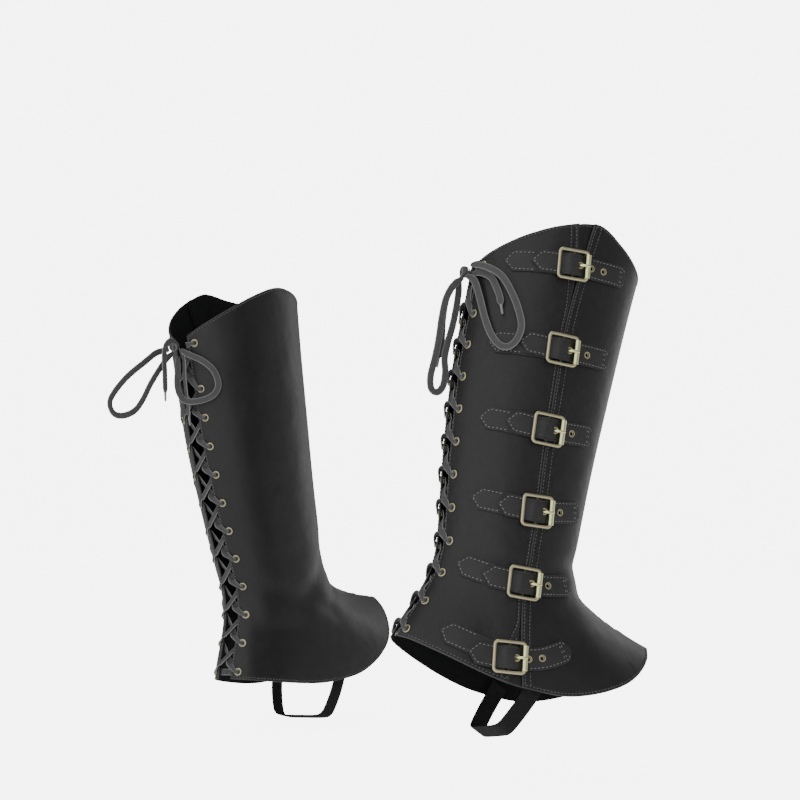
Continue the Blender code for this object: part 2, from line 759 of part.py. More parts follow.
def add_straps(cover, side, label, buckle_mesh):
    """Six patches, straps and buckles on the outer side."""
    patch_height = WALL + LAYER_GAP
    for number, row in enumerate(STRAPS, start=1):
        patch_route = strap_route(row, row.patch_tip, row.patch_level)
        route = strap_route(row, row.strap_tip, row.strap_level)
        sections = band_sections(patch_route, patch_route[0][0], -PATCH_END, lambda distance: patch_height,
                                 PATCH_THICK, TIP_SHAPE, BLUNT_SHAPE, side)
        name = f"{label}_patch_{number}"
        mesh_object(name, loft_mesh(name, sections), STRAP_LEATHER, cover)

        buckle_spot, ahead, facing, rise = buckle_frame(route)

        def underside(distance):
            return (straight(STRAP_LIFT, "height", distance)
                    + rise * straight(BRIDGE, "share", abs(distance)))

        sections = band_sections(route, route[0][0], route[-1][0], underside,
                                 STRAP_THICK, TIP_SHAPE, TAIL_SHAPE, side)
        name = f"{label}_strap_{number}"
        strap = mesh_object(name, loft_mesh(name, sections), STRAP_LEATHER, cover)
        spots = []
        for distance in (PRONG_HOLE, *row.holes):
            point, _, hole_facing = spot_frame(route, distance, underside(distance) + STRAP_THICK / 2)
            spots.append((point, hole_facing))
        cutter = hole_cutter(name + "_cutter", spots, STRAP_HOLE, STRAP_HOLE_SIDES, side, cover)
        cut(strap, cutter)

        name = f"{label}_buckle_{number}"
        buckle = bpy.data.objects.new(name, buckle_mesh)
        bpy.context.collection.objects.link(buckle)
        buckle.parent = cover
        ahead.y *= side
        facing.y *= side
        axes = Matrix((ahead, facing.cross(ahead), facing)).transposed()
        buckle.matrix_local = Matrix.Translation(in_metres(buckle_spot, side)) @ axes.to_4x4()


def buckle_frame_sections():
    """Wire sections round the buckle's rounded frame."""
    half_length = (BUCKLE_LENGTH - WIRE) / 2
    half_width = (BUCKLE_WIDTH - WIRE) / 2
    radius = BUCKLE_CORNER - WIRE / 2
    sections = []
    for quarter in range(4):
        sign_x = 1 if quarter in (0, 3) else -1
        sign_y = 1 if quarter in (0, 1) else -1
        centre = Vector((sign_x * (half_length - radius), sign_y * (half_width - radius), 0))
        for step in range(CORNER_STEPS + 1):
            turn = math.radians(90 * (quarter + step / CORNER_STEPS))
            away = Vector((math.cos(turn), math.sin(turn), 0))
            middle = (centre + away * radius) * MM
            sections.append(circle_section(middle, away, Vector((0, 0, 1)), WIRE / 2 * MM, WIRE_SIDES))
    return sections


def rod_sections(points, radius, sides, upright):
    """Round sections along a rod, with the sections' second way near an upright vector."""
    sections = []
    for i, point in enumerate(points):
        before = points[max(i - 1, 0)]
        after = points[min(i + 1, len(points) - 1)]
        along = (after - before).normalized()
        first = along.cross(upright).normalized()
        second = first.cross(along)
        sections.append(circle_section(point * MM, first, second, radius * MM, sides))
    return sections


def united_mesh(name, meshes, finish):
    """One mesh from several that overlap."""
    items = []
    for index, mesh in enumerate(meshes):
        item = bpy.data.objects.new(f"{name}_part_{index}", mesh)
        bpy.context.collection.objects.link(item)
        items.append(item)
    for other in items[1:]:
        join = items[0].modifiers.new("join", "BOOLEAN")
        join.operation = "UNION"
        join.solver = "EXACT"
        join.object = other
    graph = bpy.context.evaluated_depsgraph_get()
    mesh = bpy.data.meshes.new_from_object(items[0].evaluated_get(graph))
    mesh.name = name
    mesh.materials.clear()
    mesh.materials.append(material_of(finish))
    for item in items:
        bpy.data.objects.remove(item, do_unlink=True)
    return mesh


def make_buckle_mesh():
    """A roller buckle: frame, centre bar, roller and prong, with its strap running along X."""
    half_width = (BUCKLE_WIDTH - WIRE) / 2
    front_bar = (BUCKLE_LENGTH - WIRE) / 2
    up = Vector((0, 0, 1))
    across = Vector((1, 0, 0))
    frame = loft_mesh("frame", buckle_frame_sections(), cyclic=True, sharp_angle=75.0)
    bar_ends = [Vector((0, -half_width, -BAR_DROP)), Vector((0, half_width, -BAR_DROP))]
    bar = loft_mesh("bar", rod_sections(bar_ends, BAR_DIAMETER / 2, WIRE_SIDES, across))
    roller_ends = [Vector((front_bar, -ROLLER_LENGTH / 2, 0)), Vector((front_bar, ROLLER_LENGTH / 2, 0))]
    roller = loft_mesh("roller", rod_sections(roller_ends, ROLLER_DIAMETER / 2, ROLLER_SIDES, across))
    prong_points = [Vector((x, 0, z)) for x, z in PRONG_ROUTE]
    prong = loft_mesh("prong", rod_sections(prong_points, PRONG_DIAMETER / 2, PRONG_SIDES, up))
    return united_mesh("buckle", [frame, bar, roller, prong], BRASS)


def lace_sections(spots, side):
    """Flat sections along a lace from (point, facing, width, thick) spots."""
    sections = []
    for i, (point, facing, width, thick) in enumerate(spots):
        before = spots[max(i - 1, 0)][0]
        after = spots[min(i + 1, len(spots) - 1)][0]
        along = (after - before).normalized()
        across = along.cross(facing).normalized()
        flat = across.cross(along)
        ring = flat_section(point, across, flat, width, thick)
        sections.append([in_metres(corner, side) for corner in ring])
    return sections


def gap_frame(level, out):
    """Outward way and the way towards the gap, at a distance out from the back's middle."""
    angle = back_angle(level, out)
    round_way = cover_point(angle + ANGLE_STEP, level) - cover_point(angle - ANGLE_STEP, level)
    return outward(angle, level), round_way.normalized() * math.copysign(1, out)


def strand_spots(levels, hand):
    """Spots of one lace strand, from the middle of the bottom bar up to the knot."""
    spots = []

    def put_over_gap(out, level, height, spin, width=LACE_WIDTH, tilt=0):
        angle = back_angle(level, HALF_GAP)
        edge = cover_point(angle, level)
        normal = outward(angle, level)
        normal = Vector((normal.x, normal.y * out / HALF_GAP, normal.z)).normalized()
        upward = (cover_point(angle, raised_level(angle, level, 1.0)) - edge).normalized()
        facing = normal * math.cos(math.radians(tilt)) + upward * math.sin(math.radians(tilt))
        facing = facing * math.cos(math.radians(spin))
        spots.append((Vector((edge.x, out, edge.z)) + normal * height, facing, width, LACE_THICK))

    def put_in_eyelet(out, level, turn, spin):
        normal, gap_way = gap_frame(level, out)
        point = cover_point(back_angle(level, out), level)
        point = point + gap_way * turn.towards_gap + normal * turn.height
        facing_turn = math.radians(spin + turn.facing)
        facing = normal * math.cos(facing_turn) + gap_way * math.sin(facing_turn)
        spots.append((point, facing, BUNCHED_WIDTH, BUNCHED_THICK))

    spin = 0
    put_over_gap(hand * LACE_BAR_END, levels[0], LACE_BAR_HEIGHT, spin)
    put_over_gap(hand * LACE_CROSSING[0].out, levels[0], LACE_BAR_HEIGHT, spin)
    for row, level in enumerate(levels):
        where = hand if row % 2 == 0 else -hand
        for turn in EYELET_TURN:
            put_in_eyelet(where * EYELET_OUT, level, turn, spin)
        spin += 180
        if row == len(levels) - 1:
            break
        over = hand > 0 if row % 2 == 0 else hand < 0
        for crossing in LACE_CROSSING:
            height = crossing.over_height if over else crossing.under_height
            tilt = crossing.tilt if over else -crossing.tilt
            here = mixed_level(level, levels[row + 1], crossing.share)
            put_over_gap(where * crossing.out, here, height, spin, crossing.width, tilt)
    put_over_gap(where * LACE_TOP_OUT, levels[-1] - LACE_TOP_DROP, LACE_TOP_HEIGHT, spin)
    return spots


def mixed_level(low, high, share):
    """Level at a share of the way up the back from one eyelet to the next."""
    if low >= 0 or high <= 0:
        return low + (high - low) * share
    back_length = (eyelet_point(0.0) - eyelet_point(low)).length
    travel = (back_length + high) * share
    if travel > back_length:
        return travel - back_length
    return low * (1 - travel / back_length)


def smooth_route(points, step):
    """Points at even steps on a smooth curve through a route's own points."""
    vectors = [Vector(point) for point in points]
    padded = [vectors[0] * 2 - vectors[1], *vectors, vectors[-1] * 2 - vectors[-2]]
    fine = []
    for i in range(1, len(padded) - 2):
        a, b, c, d = padded[i - 1:i + 3]
        for k in range(CURVE_PARTS):
            t = k / CURVE_PARTS
            fine.append(0.5 * ((2 * b) + (c - a) * t + (2 * a - 5 * b + 4 * c - d) * t ** 2
                               + (3 * b - a - 3 * c + d) * t ** 3))
    fine.append(vectors[-1])
    lengths = [0.0]
    for first, second in zip(fine, fine[1:]):
        lengths.append(lengths[-1] + (second - first).length)
    count = max(2, round(lengths[-1] / step))
    even = []
    index = 0
    for i in range(count + 1):
        wanted = lengths[-1] * i / count
        while index < len(fine) - 2 and lengths[index + 1] < wanted:
            index += 1
        t = (wanted - lengths[index]) / (lengths[index + 1] - lengths[index])
        even.append(fine[index].lerp(fine[index + 1], min(t, 1.0)))
    return even


def free_lace_spots(points, facing, aglet):
    """Spots of a loop or a tail, with an aglet on a tail's end."""
    route = smooth_route(points, LACE_STEP)
    spots = [(point, Vector(facing), LACE_WIDTH, LACE_THICK) for point in route]
    if aglet:
        end = route[-1]
        way = (route[-1] - route[-2]).normalized()
        spots.append((end + way * AGLET_START, Vector(facing), AGLET_DIAMETER, AGLET_DIAMETER))
        spots.append((end + way * AGLET_LENGTH, Vector(facing), AGLET_DIAMETER, AGLET_DIAMETER))
    return spots


def add_lace(cover, side, label, knot):
    """Two strands up the back, a knot, two loops and two tails."""
    levels = eyelet_levels()
    for hand, strand in ((1, "a"), (-1, "b")):
        name = f"{label}_lace_strand_{strand}"
        mesh = loft_mesh(name, lace_sections(strand_spots(levels, hand), side))
        mesh_object(name, mesh, LACE_COTTON, cover)

    shape = bmesh.new()
    bmesh.ops.create_uvsphere(shape, u_segments=KNOT_SEGMENTS, v_segments=KNOT_RINGS, radius=0.5)
    bmesh.ops.scale(shape, vec=Vector(KNOT_SIZE) * MM, verts=shape.verts)
    knot_object = mesh_object(label + "_lace_knot", finished_mesh(label + "_lace_knot", shape, 60.0),
                              LACE_COTTON, cover)
    knot_object.location = in_metres(Vector(knot), side)

    for piece, points in BOWS[label].items():
        name = f"{label}_lace_{piece}"
        spots = free_lace_spots(points, LACE_FACES[label][piece], piece.endswith("tail"))
        mesh_object(name, loft_mesh(name, lace_sections(spots, side)), LACE_COTTON, cover)


def add_stirrup(cover, side, label):
    """The elastic strap that runs under the arch of the foot from hem to hem."""
    slope = math.radians(STIRRUP_SLOPE)
    down = Vector((-math.sin(slope), 0, -math.cos(slope)))
    across = Vector((math.cos(slope), 0, -math.sin(slope)))
    hem = cover_point(STIRRUP_ANGLE, -1.0)
    middle = [Vector((hem.x, 0, hem.z)) + down * row.depth + Vector((0, row.out, 0)) for row in STIRRUP]
    middle += [Vector((point.x, -point.y, point.z)) for point in reversed(middle[:-1])]
    sections = []
    for i, point in enumerate(middle):
        before = middle[max(i - 1, 0)]
        after = middle[min(i + 1, len(middle) - 1)]
        facing = (after - before).normalized().cross(across)
        ring = flat_section(point, across, facing, STIRRUP_WIDTH, STIRRUP_THICK)
        sections.append([in_metres(corner, side) for corner in ring])
    name = label + "_stirrup_strap"
    mesh_object(name, loft_mesh(name, sections), ELASTIC, cover)


def main():
    """Build both covers where they are worn."""
    clear_scene()
    buckle_mesh = make_buckle_mesh()
    for posture in POSTURES:
        cover = bpy.data.objects.new(posture.name + "_cover", None)
        bpy.context.collection.objects.link(cover)
        cover.location = Vector(posture.ankle) * MM
        turns = (posture.sideways, posture.forward, posture.toe_out)
        cover.rotation_euler = Euler([math.radians(turn) for turn in turns], "XYZ")
        add_panels(cover, posture.side, posture.name)
        add_straps(cover, posture.side, posture.name, buckle_mesh)
        add_lace(cover, posture.side, posture.name, posture.knot)
        add_stirrup(cover, posture.side, posture.name)


main()
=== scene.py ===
"""The looks of a pair of boot covers, laced up the back, with six buckled straps on each outer side.

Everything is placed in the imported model's frame, in metres. The tables and shape functions that
give the covers' form are in millimetres and degrees, in each cover's own frame. Round a cover,
angle 0 is the front, 180 the back, positive on the outer side and negative on the inner side. A
level above 0 is a height above the ankle ring, and one from 0 down to -1 is the share of the way
from the ankle ring to the hem.
"""
import logging
import math
from collections.abc import Callable
from dataclasses import dataclass, replace
from enum import Enum
from functools import cached_property

import bmesh
import bpy
import numpy as np
from mathutils import Euler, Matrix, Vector


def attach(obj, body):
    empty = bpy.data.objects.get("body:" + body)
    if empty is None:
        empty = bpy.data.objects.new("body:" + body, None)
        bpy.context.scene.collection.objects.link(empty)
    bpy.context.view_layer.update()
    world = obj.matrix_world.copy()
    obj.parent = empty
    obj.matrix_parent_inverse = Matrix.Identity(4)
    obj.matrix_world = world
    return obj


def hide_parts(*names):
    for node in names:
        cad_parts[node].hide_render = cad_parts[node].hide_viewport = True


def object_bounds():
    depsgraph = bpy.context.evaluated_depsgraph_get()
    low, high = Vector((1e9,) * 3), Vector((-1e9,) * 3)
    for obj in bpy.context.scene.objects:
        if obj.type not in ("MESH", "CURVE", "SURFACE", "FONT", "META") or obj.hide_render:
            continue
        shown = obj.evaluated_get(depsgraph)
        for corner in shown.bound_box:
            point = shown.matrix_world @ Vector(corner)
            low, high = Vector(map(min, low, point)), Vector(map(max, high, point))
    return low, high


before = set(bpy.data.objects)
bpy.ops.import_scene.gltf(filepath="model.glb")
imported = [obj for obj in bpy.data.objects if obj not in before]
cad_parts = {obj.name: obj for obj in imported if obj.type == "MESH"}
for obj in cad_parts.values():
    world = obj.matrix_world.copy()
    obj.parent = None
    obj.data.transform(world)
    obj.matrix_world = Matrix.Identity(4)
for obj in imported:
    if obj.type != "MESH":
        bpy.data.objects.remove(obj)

CAD_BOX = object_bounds()
MM = 0.001
BODY = "root"
CUTTER_REACH = 4.0 * MM

Array = np.ndarray
Colour = tuple[float, float, float]
Spots = tuple[Array, Array]

log = logging.getLogger("boot_covers")


class Slot(Enum):
    """Names of the record's material slots, one for each kind of finish."""

    LEATHER = "leather"
    STRAP = "strap_leather"
    LACE = "lace_cotton"
    ELASTIC = "elastic"
    BRASS = "antique_brass"


def bridged(t: Array, start: Array, leave: Array, end: Array, arrive: Array) -> Array:
    """Values at shares t of a smooth way from a start to an end, by its slopes at both."""
    return ((2 * t ** 3 - 3 * t ** 2 + 1) * start + (t ** 3 - 2 * t ** 2 + t) * leave
            + (3 * t ** 2 - 2 * t ** 3) * end + (t ** 3 - t ** 2) * arrive)


class SmoothTable:
    """A smooth curve through the rows of a short table."""

    def __init__(self, places: tuple[float, ...], values: tuple[float, ...]) -> None:
        """Work out the slope at each row.

        Args:
            places: where the rows are, in rising order.
            values: the rows' values.
        """
        self.places = np.array(places, float)
        self.values = np.array(values, float)
        steps = np.diff(self.places)
        rises = np.diff(self.values) / steps
        inner = (rises[:-1] * steps[1:] + rises[1:] * steps[:-1]) / (steps[:-1] + steps[1:])
        self.slopes = np.concatenate([rises[:1], inner, rises[-1:]])

    def __call__(self, place: Array | float) -> Array:
        """Value at one place or at each of several."""
        index = np.clip(np.searchsorted(self.places, place) - 1, 0, len(self.places) - 2)
        step = self.places[index + 1] - self.places[index]
        t = (place - self.places[index]) / step
        return bridged(t, self.values[index], step * self.slopes[index],
                       self.values[index + 1], step * self.slopes[index + 1])


def unit(vectors: Array) -> Array:
    """Vectors of length one along the last axis."""
    return vectors / np.linalg.norm(vectors, axis=-1, keepdims=True)


def lengths_along(points: Array) -> Array:
    """Distance of each point from the first, along the line through them."""
    return np.concatenate([[0.0], np.cumsum(np.linalg.norm(np.diff(points, axis=0), axis=1))])


def columns_at(lengths: Array, values: Array, wanted: Array) -> Array:
    """Each column of some values, read on straight lines at the wanted lengths."""
    return np.stack([np.interp(wanted, lengths, values[:, i]) for i in range(values.shape[1])], axis=1)


def curve_through(controls: Array, parts: int) -> Array:
    """Rows on a smooth curve through control rows.

    Args:
        controls: one row for each control spot, with any number of columns.
        parts: steps between two control rows.

    Returns:
        The finer rows, with both ends.
    """
    padded = np.vstack([2 * controls[0] - controls[1], controls, 2 * controls[-1] - controls[-2]])
    t = (np.arange(parts) / parts)[:, None]
    pieces = []
    for a, b, c, d in zip(padded, padded[1:], padded[2:], padded[3:]):
        pieces.append(0.5 * (2 * b + (c - a) * t + (2 * a - 5 * b + 4 * c - d) * t ** 2
                             + (3 * b - a - 3 * c + d) * t ** 3))
    return np.vstack([*pieces, controls[-1:]])


def sections(line: Array, across: Array, up: Array, side: Array, rise: Array) -> Array:
    """Rings of points on a middle line, each point's offsets across and up being side and rise."""
    return line[:, None, :] + across[..., None, :] * side[..., None] + up[..., None, :] * rise[..., None]


def woven(run: Array, side: Array, share: Array) -> Array:
    """Weave coordinates of rings: along and across the lace in mm, and the share to its edge."""
    return np.stack(np.broadcast_arrays(run[:, None], side, share), axis=-1)


def linked(name: str, data: bpy.types.ID) -> bpy.types.Object:
    """A new object in the scene."""
    made = bpy.data.objects.new(name, data)
    bpy.context.scene.collection.objects.link(made)
    return made


def paint_points(mesh: bpy.types.Mesh, name: str, chunks: list[Array]) -> None:
    """Give every point of a mesh its named value, of one number or three."""
    values = np.vstack(chunks).astype(np.float32)
    kind, field = ("FLOAT", "value") if values.shape[1] == 1 else ("FLOAT_VECTOR", "vector")
    mesh.attributes.new(name, kind, "POINT").data.foreach_set(field, values.ravel())


@dataclass(frozen=True)
class Crease:
    """A soft trough in a cover's wall.

    Attributes:
        angle: where its middle is round the cover.
        level: where its middle is up the cover.
        turn: degrees that it is turned up from running straight round the cover.
        length: its length, mm.
        width: half of its width, mm.
        depth: how far its middle stands out, mm, which is below 0.
        bend: how far its ends curve up, mm.
    """

    angle: float
    level: float
    turn: float
    length: float
    width: float
    depth: float
    bend: float = 0.0


@dataclass(frozen=True)
class CoverForm:
    """The form of a cover's wall, in the cover's own frame."""

    creases: tuple[Crease, ...]
    wall: float = 2.0
    layer_gap: float = 0.6
    half_gap: float = 9.0
    top_back_angle: float = 171.0
    width_ratio: float = 0.70
    ankle_pull: float = 1.29
    hem_pull: float = 0.95
    front_run: float = -21.7
    back_run: float = -109.0
    run_power: float = 1.5
    eyelet_out: float = 16.5
    eyelet_count: int = 12
    eyelet_pitch: float = 31.0
    lowest_eyelet: float = 8.0
    top_eyelet_extra: float = 18.0
    angle_step: float = 0.5
    height_step: float = 1.0
    share_step: float = 0.01
    crease_reach: float = 32.0

    SHANK = (0, 75, 155, 225, 310)
    HALF_DEPTH = SmoothTable(SHANK, (65.0, 70.5, 76.0, 78.5, 82.0))
    CENTRE = SmoothTable(SHANK, (7.0, 8.5, 13.0, 20.0, 30.0))
    HEM = (0, 15, 30, 45, 60, 80, 100, 125, 150, 165, 180)
    HEM_FORWARD = SmoothTable(HEM, (158.0, 151.5, 138.5, 121.0, 98.0, 65.0, 37.0, -6.0, -56.0, -83.0, -93.0))
    HEM_OUT = SmoothTable(HEM, (0.0, 17.0, 33.0, 45.0, 51.5, 54.0, 54.0, 50.0, 38.0, 22.0, 0.0))
    HEM_HEIGHT = SmoothTable(
        HEM, (-75.5, -88.0, -103.0, -116.5, -127.5, -136.5, -137.0, -131.0, -115.0, -105.0, -101.0))
    TOP = (0, 35, 60, 80, 105, 125, 150, 171)
    TOP_OUTER = SmoothTable(TOP, (272.0, 281.0, 294.0, 306.0, 299.0, 288.0, 273.0, 262.0))
    TOP_INNER = SmoothTable(TOP, (272.0, 279.0, 291.0, 298.0, 294.0, 286.0, 275.0, 265.0))
    SEAM = (-1.0, -0.82, -0.64, -0.39, -0.14, 0.03, 0.27, 0.53, 0.66, 0.79, 0.9, 1.0)
    REAR_EDGE = SmoothTable(SEAM, (120.0, 118.0, 111.5, 99.1, 86.5, 84.5, 86.0, 88.0, 89.2, 89.0, 91.5, 95.5))
    FRONT_EDGE = SmoothTable(
        SEAM, (112.5, 113.5, 109.5, 98.6, 86.0, 84.0, 85.5, 87.5, 88.7, 87.8, 86.5, 85.0))
    TUCK = SmoothTable((-1.0, -0.85, -0.72, -0.6, -0.4, 0.6, 0.75, 0.86, 1.0),
                       (0.0, 0.0, 1.0, 4.6, 5.1, 5.1, 4.2, 0.6, 0.0))
    BACK_ANGLES = (135.0, 180.0)
    HALVINGS = 24
    CORRECTIONS = 3
    TRACED = 101

    def shank(self, angle: Array, height: Array) -> Array:
        """Point on the shank's oval section at a height above the ankle ring."""
        turn = np.radians(angle)
        half = self.HALF_DEPTH(height)
        return np.stack([self.CENTRE(height) + half * np.cos(turn),
                         self.width_ratio * half * np.sin(turn), height + 0 * turn], axis=-1)

    def skirt(self, angle: Array, share: Array) -> Array:
        """Point between the ankle ring and the hem, over the instep and heel."""
        turn = np.radians(angle)
        still = np.zeros_like(turn)
        rise = self.SHANK[1]
        ankle = self.shank(angle, still)
        upward = (self.shank(angle, still + rise) - ankle) / rise
        size = np.abs(angle)
        side = np.where(angle < 0, -1.0, 1.0)
        hem = np.stack([self.HEM_FORWARD(size), side * self.HEM_OUT(size), self.HEM_HEIGHT(size)], axis=-1)
        reach = np.hypot(hem[..., 0] - ankle[..., 0], hem[..., 2] - ankle[..., 2])[..., None]
        frontness = (1 + np.cos(turn)) / 2
        run = np.radians(self.back_run + (self.front_run - self.back_run) * frontness ** self.run_power)
        leave = upward * (-reach * self.ankle_pull)
        arrive = np.stack([np.cos(run), still, np.sin(run)], axis=-1) * (reach * self.hem_pull)
        return bridged(share[..., None], ankle, leave, hem, arrive)

    def point(self, angle: Array, level: Array) -> Array:
        """Point on the panels' smooth inner face."""
        angle, level = np.broadcast_arrays(np.asarray(angle, float), np.asarray(level, float))
        upper = self.shank(angle, np.maximum(level, 0))
        lower = self.skirt(angle, -np.minimum(level, 0))
        return np.where((level > 0)[..., None], upper, lower)

    def slopes(self, angle: Array, level: Array) -> Spots:
        """Vectors round the cover and up it."""
        level = np.asarray(level, float)
        below = np.where(level > self.height_step, level - self.height_step, level - self.share_step)
        above = np.where(level >= 0, level + self.height_step, level + self.share_step)
        around = self.point(angle + self.angle_step, level) - self.point(angle - self.angle_step, level)
        return around, self.point(angle, above) - self.point(angle, below)

    def normal(self, angle: Array, level: Array) -> Array:
        """Unit vector out of the cover."""
        return unit(np.cross(*self.slopes(angle, level)))

    @cached_property
    def crease_frames(self) -> list[tuple[Crease, Array, Array, Array]]:
        """Each crease with its middle, its way out of the cover and the way that it runs."""
        frames = []
        for crease in self.creases:
            around, up = self.slopes(crease.angle, crease.level)
            out = unit(np.cross(around, up))
            around = unit(around)
            turn = math.radians(crease.turn)
            along = around * math.cos(turn) + np.cross(out, around) * math.sin(turn)
            frames.append((crease, self.point(crease.angle, crease.level), out, along))
        return frames

    def relief(self, points: Array) -> Array:
        """How far the creases bring the wall out at points on it, mm."""
        total = np.zeros(points.shape[:-1])
        for crease, middle, out, along in self.crease_frames:
            offset = points - middle
            run = offset @ along / (crease.length / 2)
            side = (offset @ np.cross(out, along) - crease.bend * run ** 2) / crease.width
            near = np.exp(-(offset @ out / self.crease_reach) ** 4)
            total += crease.depth * near * np.exp(-side ** 2 - run ** 4)
        return total

    def raised(self, angle: Array, level: Array, height: Array | float) -> Array:
        """Point at a height over the panels' creased inner face."""
        inner = self.point(angle, level)
        return inner + self.normal(angle, level) * (height + self.relief(inner))[..., None]

    def moved(self, angle: Array, level: Array, shift: Array) -> Spots:
        """Angles and levels after a shift along the cover, within one side of the ankle ring."""
        level_step = np.where(level > 0, -self.height_step, -self.share_step)
        target = self.point(angle, level) + shift
        for _ in range(self.CORRECTIONS):
            here = self.point(angle, level)
            by_angle = (self.point(angle + self.angle_step, level) - here) / self.angle_step
            by_level = (self.point(angle, level + level_step) - here) / level_step[..., None]
            gap = target - here
            angle_size = (by_angle ** 2).sum(-1)
            level_size = (by_level ** 2).sum(-1)
            both = (by_angle * by_level).sum(-1)
            on_angle = (gap * by_angle).sum(-1)
            on_level = (gap * by_level).sum(-1)
            spread = angle_size * level_size - both ** 2
            angle = angle + (on_angle * level_size - on_level * both) / spread
            level = level + (on_level * angle_size - on_angle * both) / spread
        return angle, level

    def back_angle(self, level: Array | float, out: float) -> Array:
        """Angles near the back at which the cover is a distance out from its middle plane."""
        low, high = (np.full(np.shape(level), angle) for angle in self.BACK_ANGLES)
        for _ in range(self.HALVINGS):
            middle = (low + high) / 2
            wide = self.point(middle, level)[..., 1] > abs(out)
            low = np.where(wide, middle, low)
            high = np.where(wide, high, middle)
        return np.copysign((low + high) / 2, out)

    def top_height(self, angle: Array) -> Array:
        """Height of the top edge above the ankle ring."""
        size = np.abs(angle)
        return np.where(np.asarray(angle) > 0, self.TOP_OUTER(size), self.TOP_INNER(size))

    def station_level(self, angle: Array, station: Array) -> Array:
        """Level of a station: -1 is the hem, 0 the ankle ring and 1 the top edge."""
        return np.where(station > 0, station * self.top_height(angle), station)

    @cached_property
    def eyelet_levels(self) -> list[float]:
        """Levels of the eyelets, the lowest first, stepped along the back edge."""
        below = np.linspace(-1, 0, self.TRACED)
        spots = np.concatenate([below, np.linspace(0, self.SHANK[-1], self.TRACED)[1:]])
        travelled = lengths_along(self.point(self.back_angle(spots, self.eyelet_out), spots))
        wanted = self.lowest_eyelet + self.eyelet_pitch * np.arange(self.eyelet_count)
        wanted[-1] += self.top_eyelet_extra
        return [float(level) for level in np.interp(wanted, travelled, spots)]

    def level_between(self, low: float, high: float, share: float) -> float:
        """Level at a share of the way up the back from one eyelet to the next."""
        if low >= 0 or high <= 0:
            return low + (high - low) * share
        ends = [self.point(self.back_angle(level, self.eyelet_out), level) for level in (0.0, low)]
        back_length = float(np.linalg.norm(ends[0] - ends[1]))
        travel = (back_length + high) * share
        if travel > back_length:
            return travel - back_length
        return low * (1 - travel / back_length)


@dataclass(frozen=True)
class Posture:
    """Where a cover is worn: its ankle and turns, and which of its sides faces out."""

    name: str
    side: int
    ankle: tuple[float, float, float]
    turns: tuple[float, float, float]

    @cached_property
    def axes(self) -> Array:
        """Turning matrix from the cover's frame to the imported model's."""
        return np.array(Euler([math.radians(turn) for turn in self.turns], "XYZ").to_matrix())

    def ways(self, vectors: Array) -> Array:
        """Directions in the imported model's frame."""
        return (np.asarray(vectors, float) * (1, self.side, 1)) @ self.axes.T

    def places(self, points: Array) -> Array:
        """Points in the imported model's frame, in metres."""
        return (self.ways(points) + self.ankle) * MM


class Bench:
    """A node tree that nodes are added to."""

    def __init__(self, tree: bpy.types.NodeTree) -> None:
        """Keep the tree."""
        self.tree = tree

    def make(self, kind: str, settings: dict | None = None, values: dict | None = None) -> bpy.types.Node:
        """Add a node, set it up and then fill or link its sockets.

        Args:
            kind: the node's type.
            settings: its properties.
            values: for each input, by name or number, a value, a socket or a Wire.

        Returns:
            The node.
        """
        node = self.tree.nodes.new(kind)
        for name, value in (settings or {}).items():
            setattr(node, name, value)
        for key, value in (values or {}).items():
            socket = value.socket if isinstance(value, Wire) else value
            if isinstance(socket, bpy.types.NodeSocket):
                self.tree.links.new(socket, node.inputs[key])
            else:
                node.inputs[key].default_value = socket
        return node

    def wire(self, kind: str, settings: dict | None = None, values: dict | None = None,
             output: str | int = 0) -> "Wire":
        """Add a node and take one of its outputs."""
        return Wire(self, self.make(kind, settings, values).outputs[output])

    def maths(self, operation: str, *terms: "Wire | float") -> "Wire":
        """Add a Math node over its terms."""
        return self.wire("ShaderNodeMath", {"operation": operation}, dict(enumerate(terms)))

    def mixed(self, share: "Wire | float", first: "Wire | Colour", second: "Wire | Colour") -> "Wire":
        """Mix two colours."""
        colours = [(*term, 1.0) if isinstance(term, tuple) else term for term in (first, second)]
        return self.wire("ShaderNodeMix", {"data_type": "RGBA"},
                         {0: share, 6: colours[0], 7: colours[1]}, output=2)

    def place(self) -> "Wire":
        """The piece's own coordinates, in metres."""
        return self.wire("ShaderNodeTexCoord", output="Object")

    def painted(self, name: str) -> "Wire":
        """A vector that is painted on the piece's points."""
        return self.wire("ShaderNodeAttribute", {"attribute_name": name}, output="Vector")

    def parts(self, vector: "Wire") -> tuple["Wire", ...]:
        """The three numbers of a vector."""
        node = self.make("ShaderNodeSeparateXYZ", None, {0: vector})
        return tuple(Wire(self, part) for part in node.outputs)


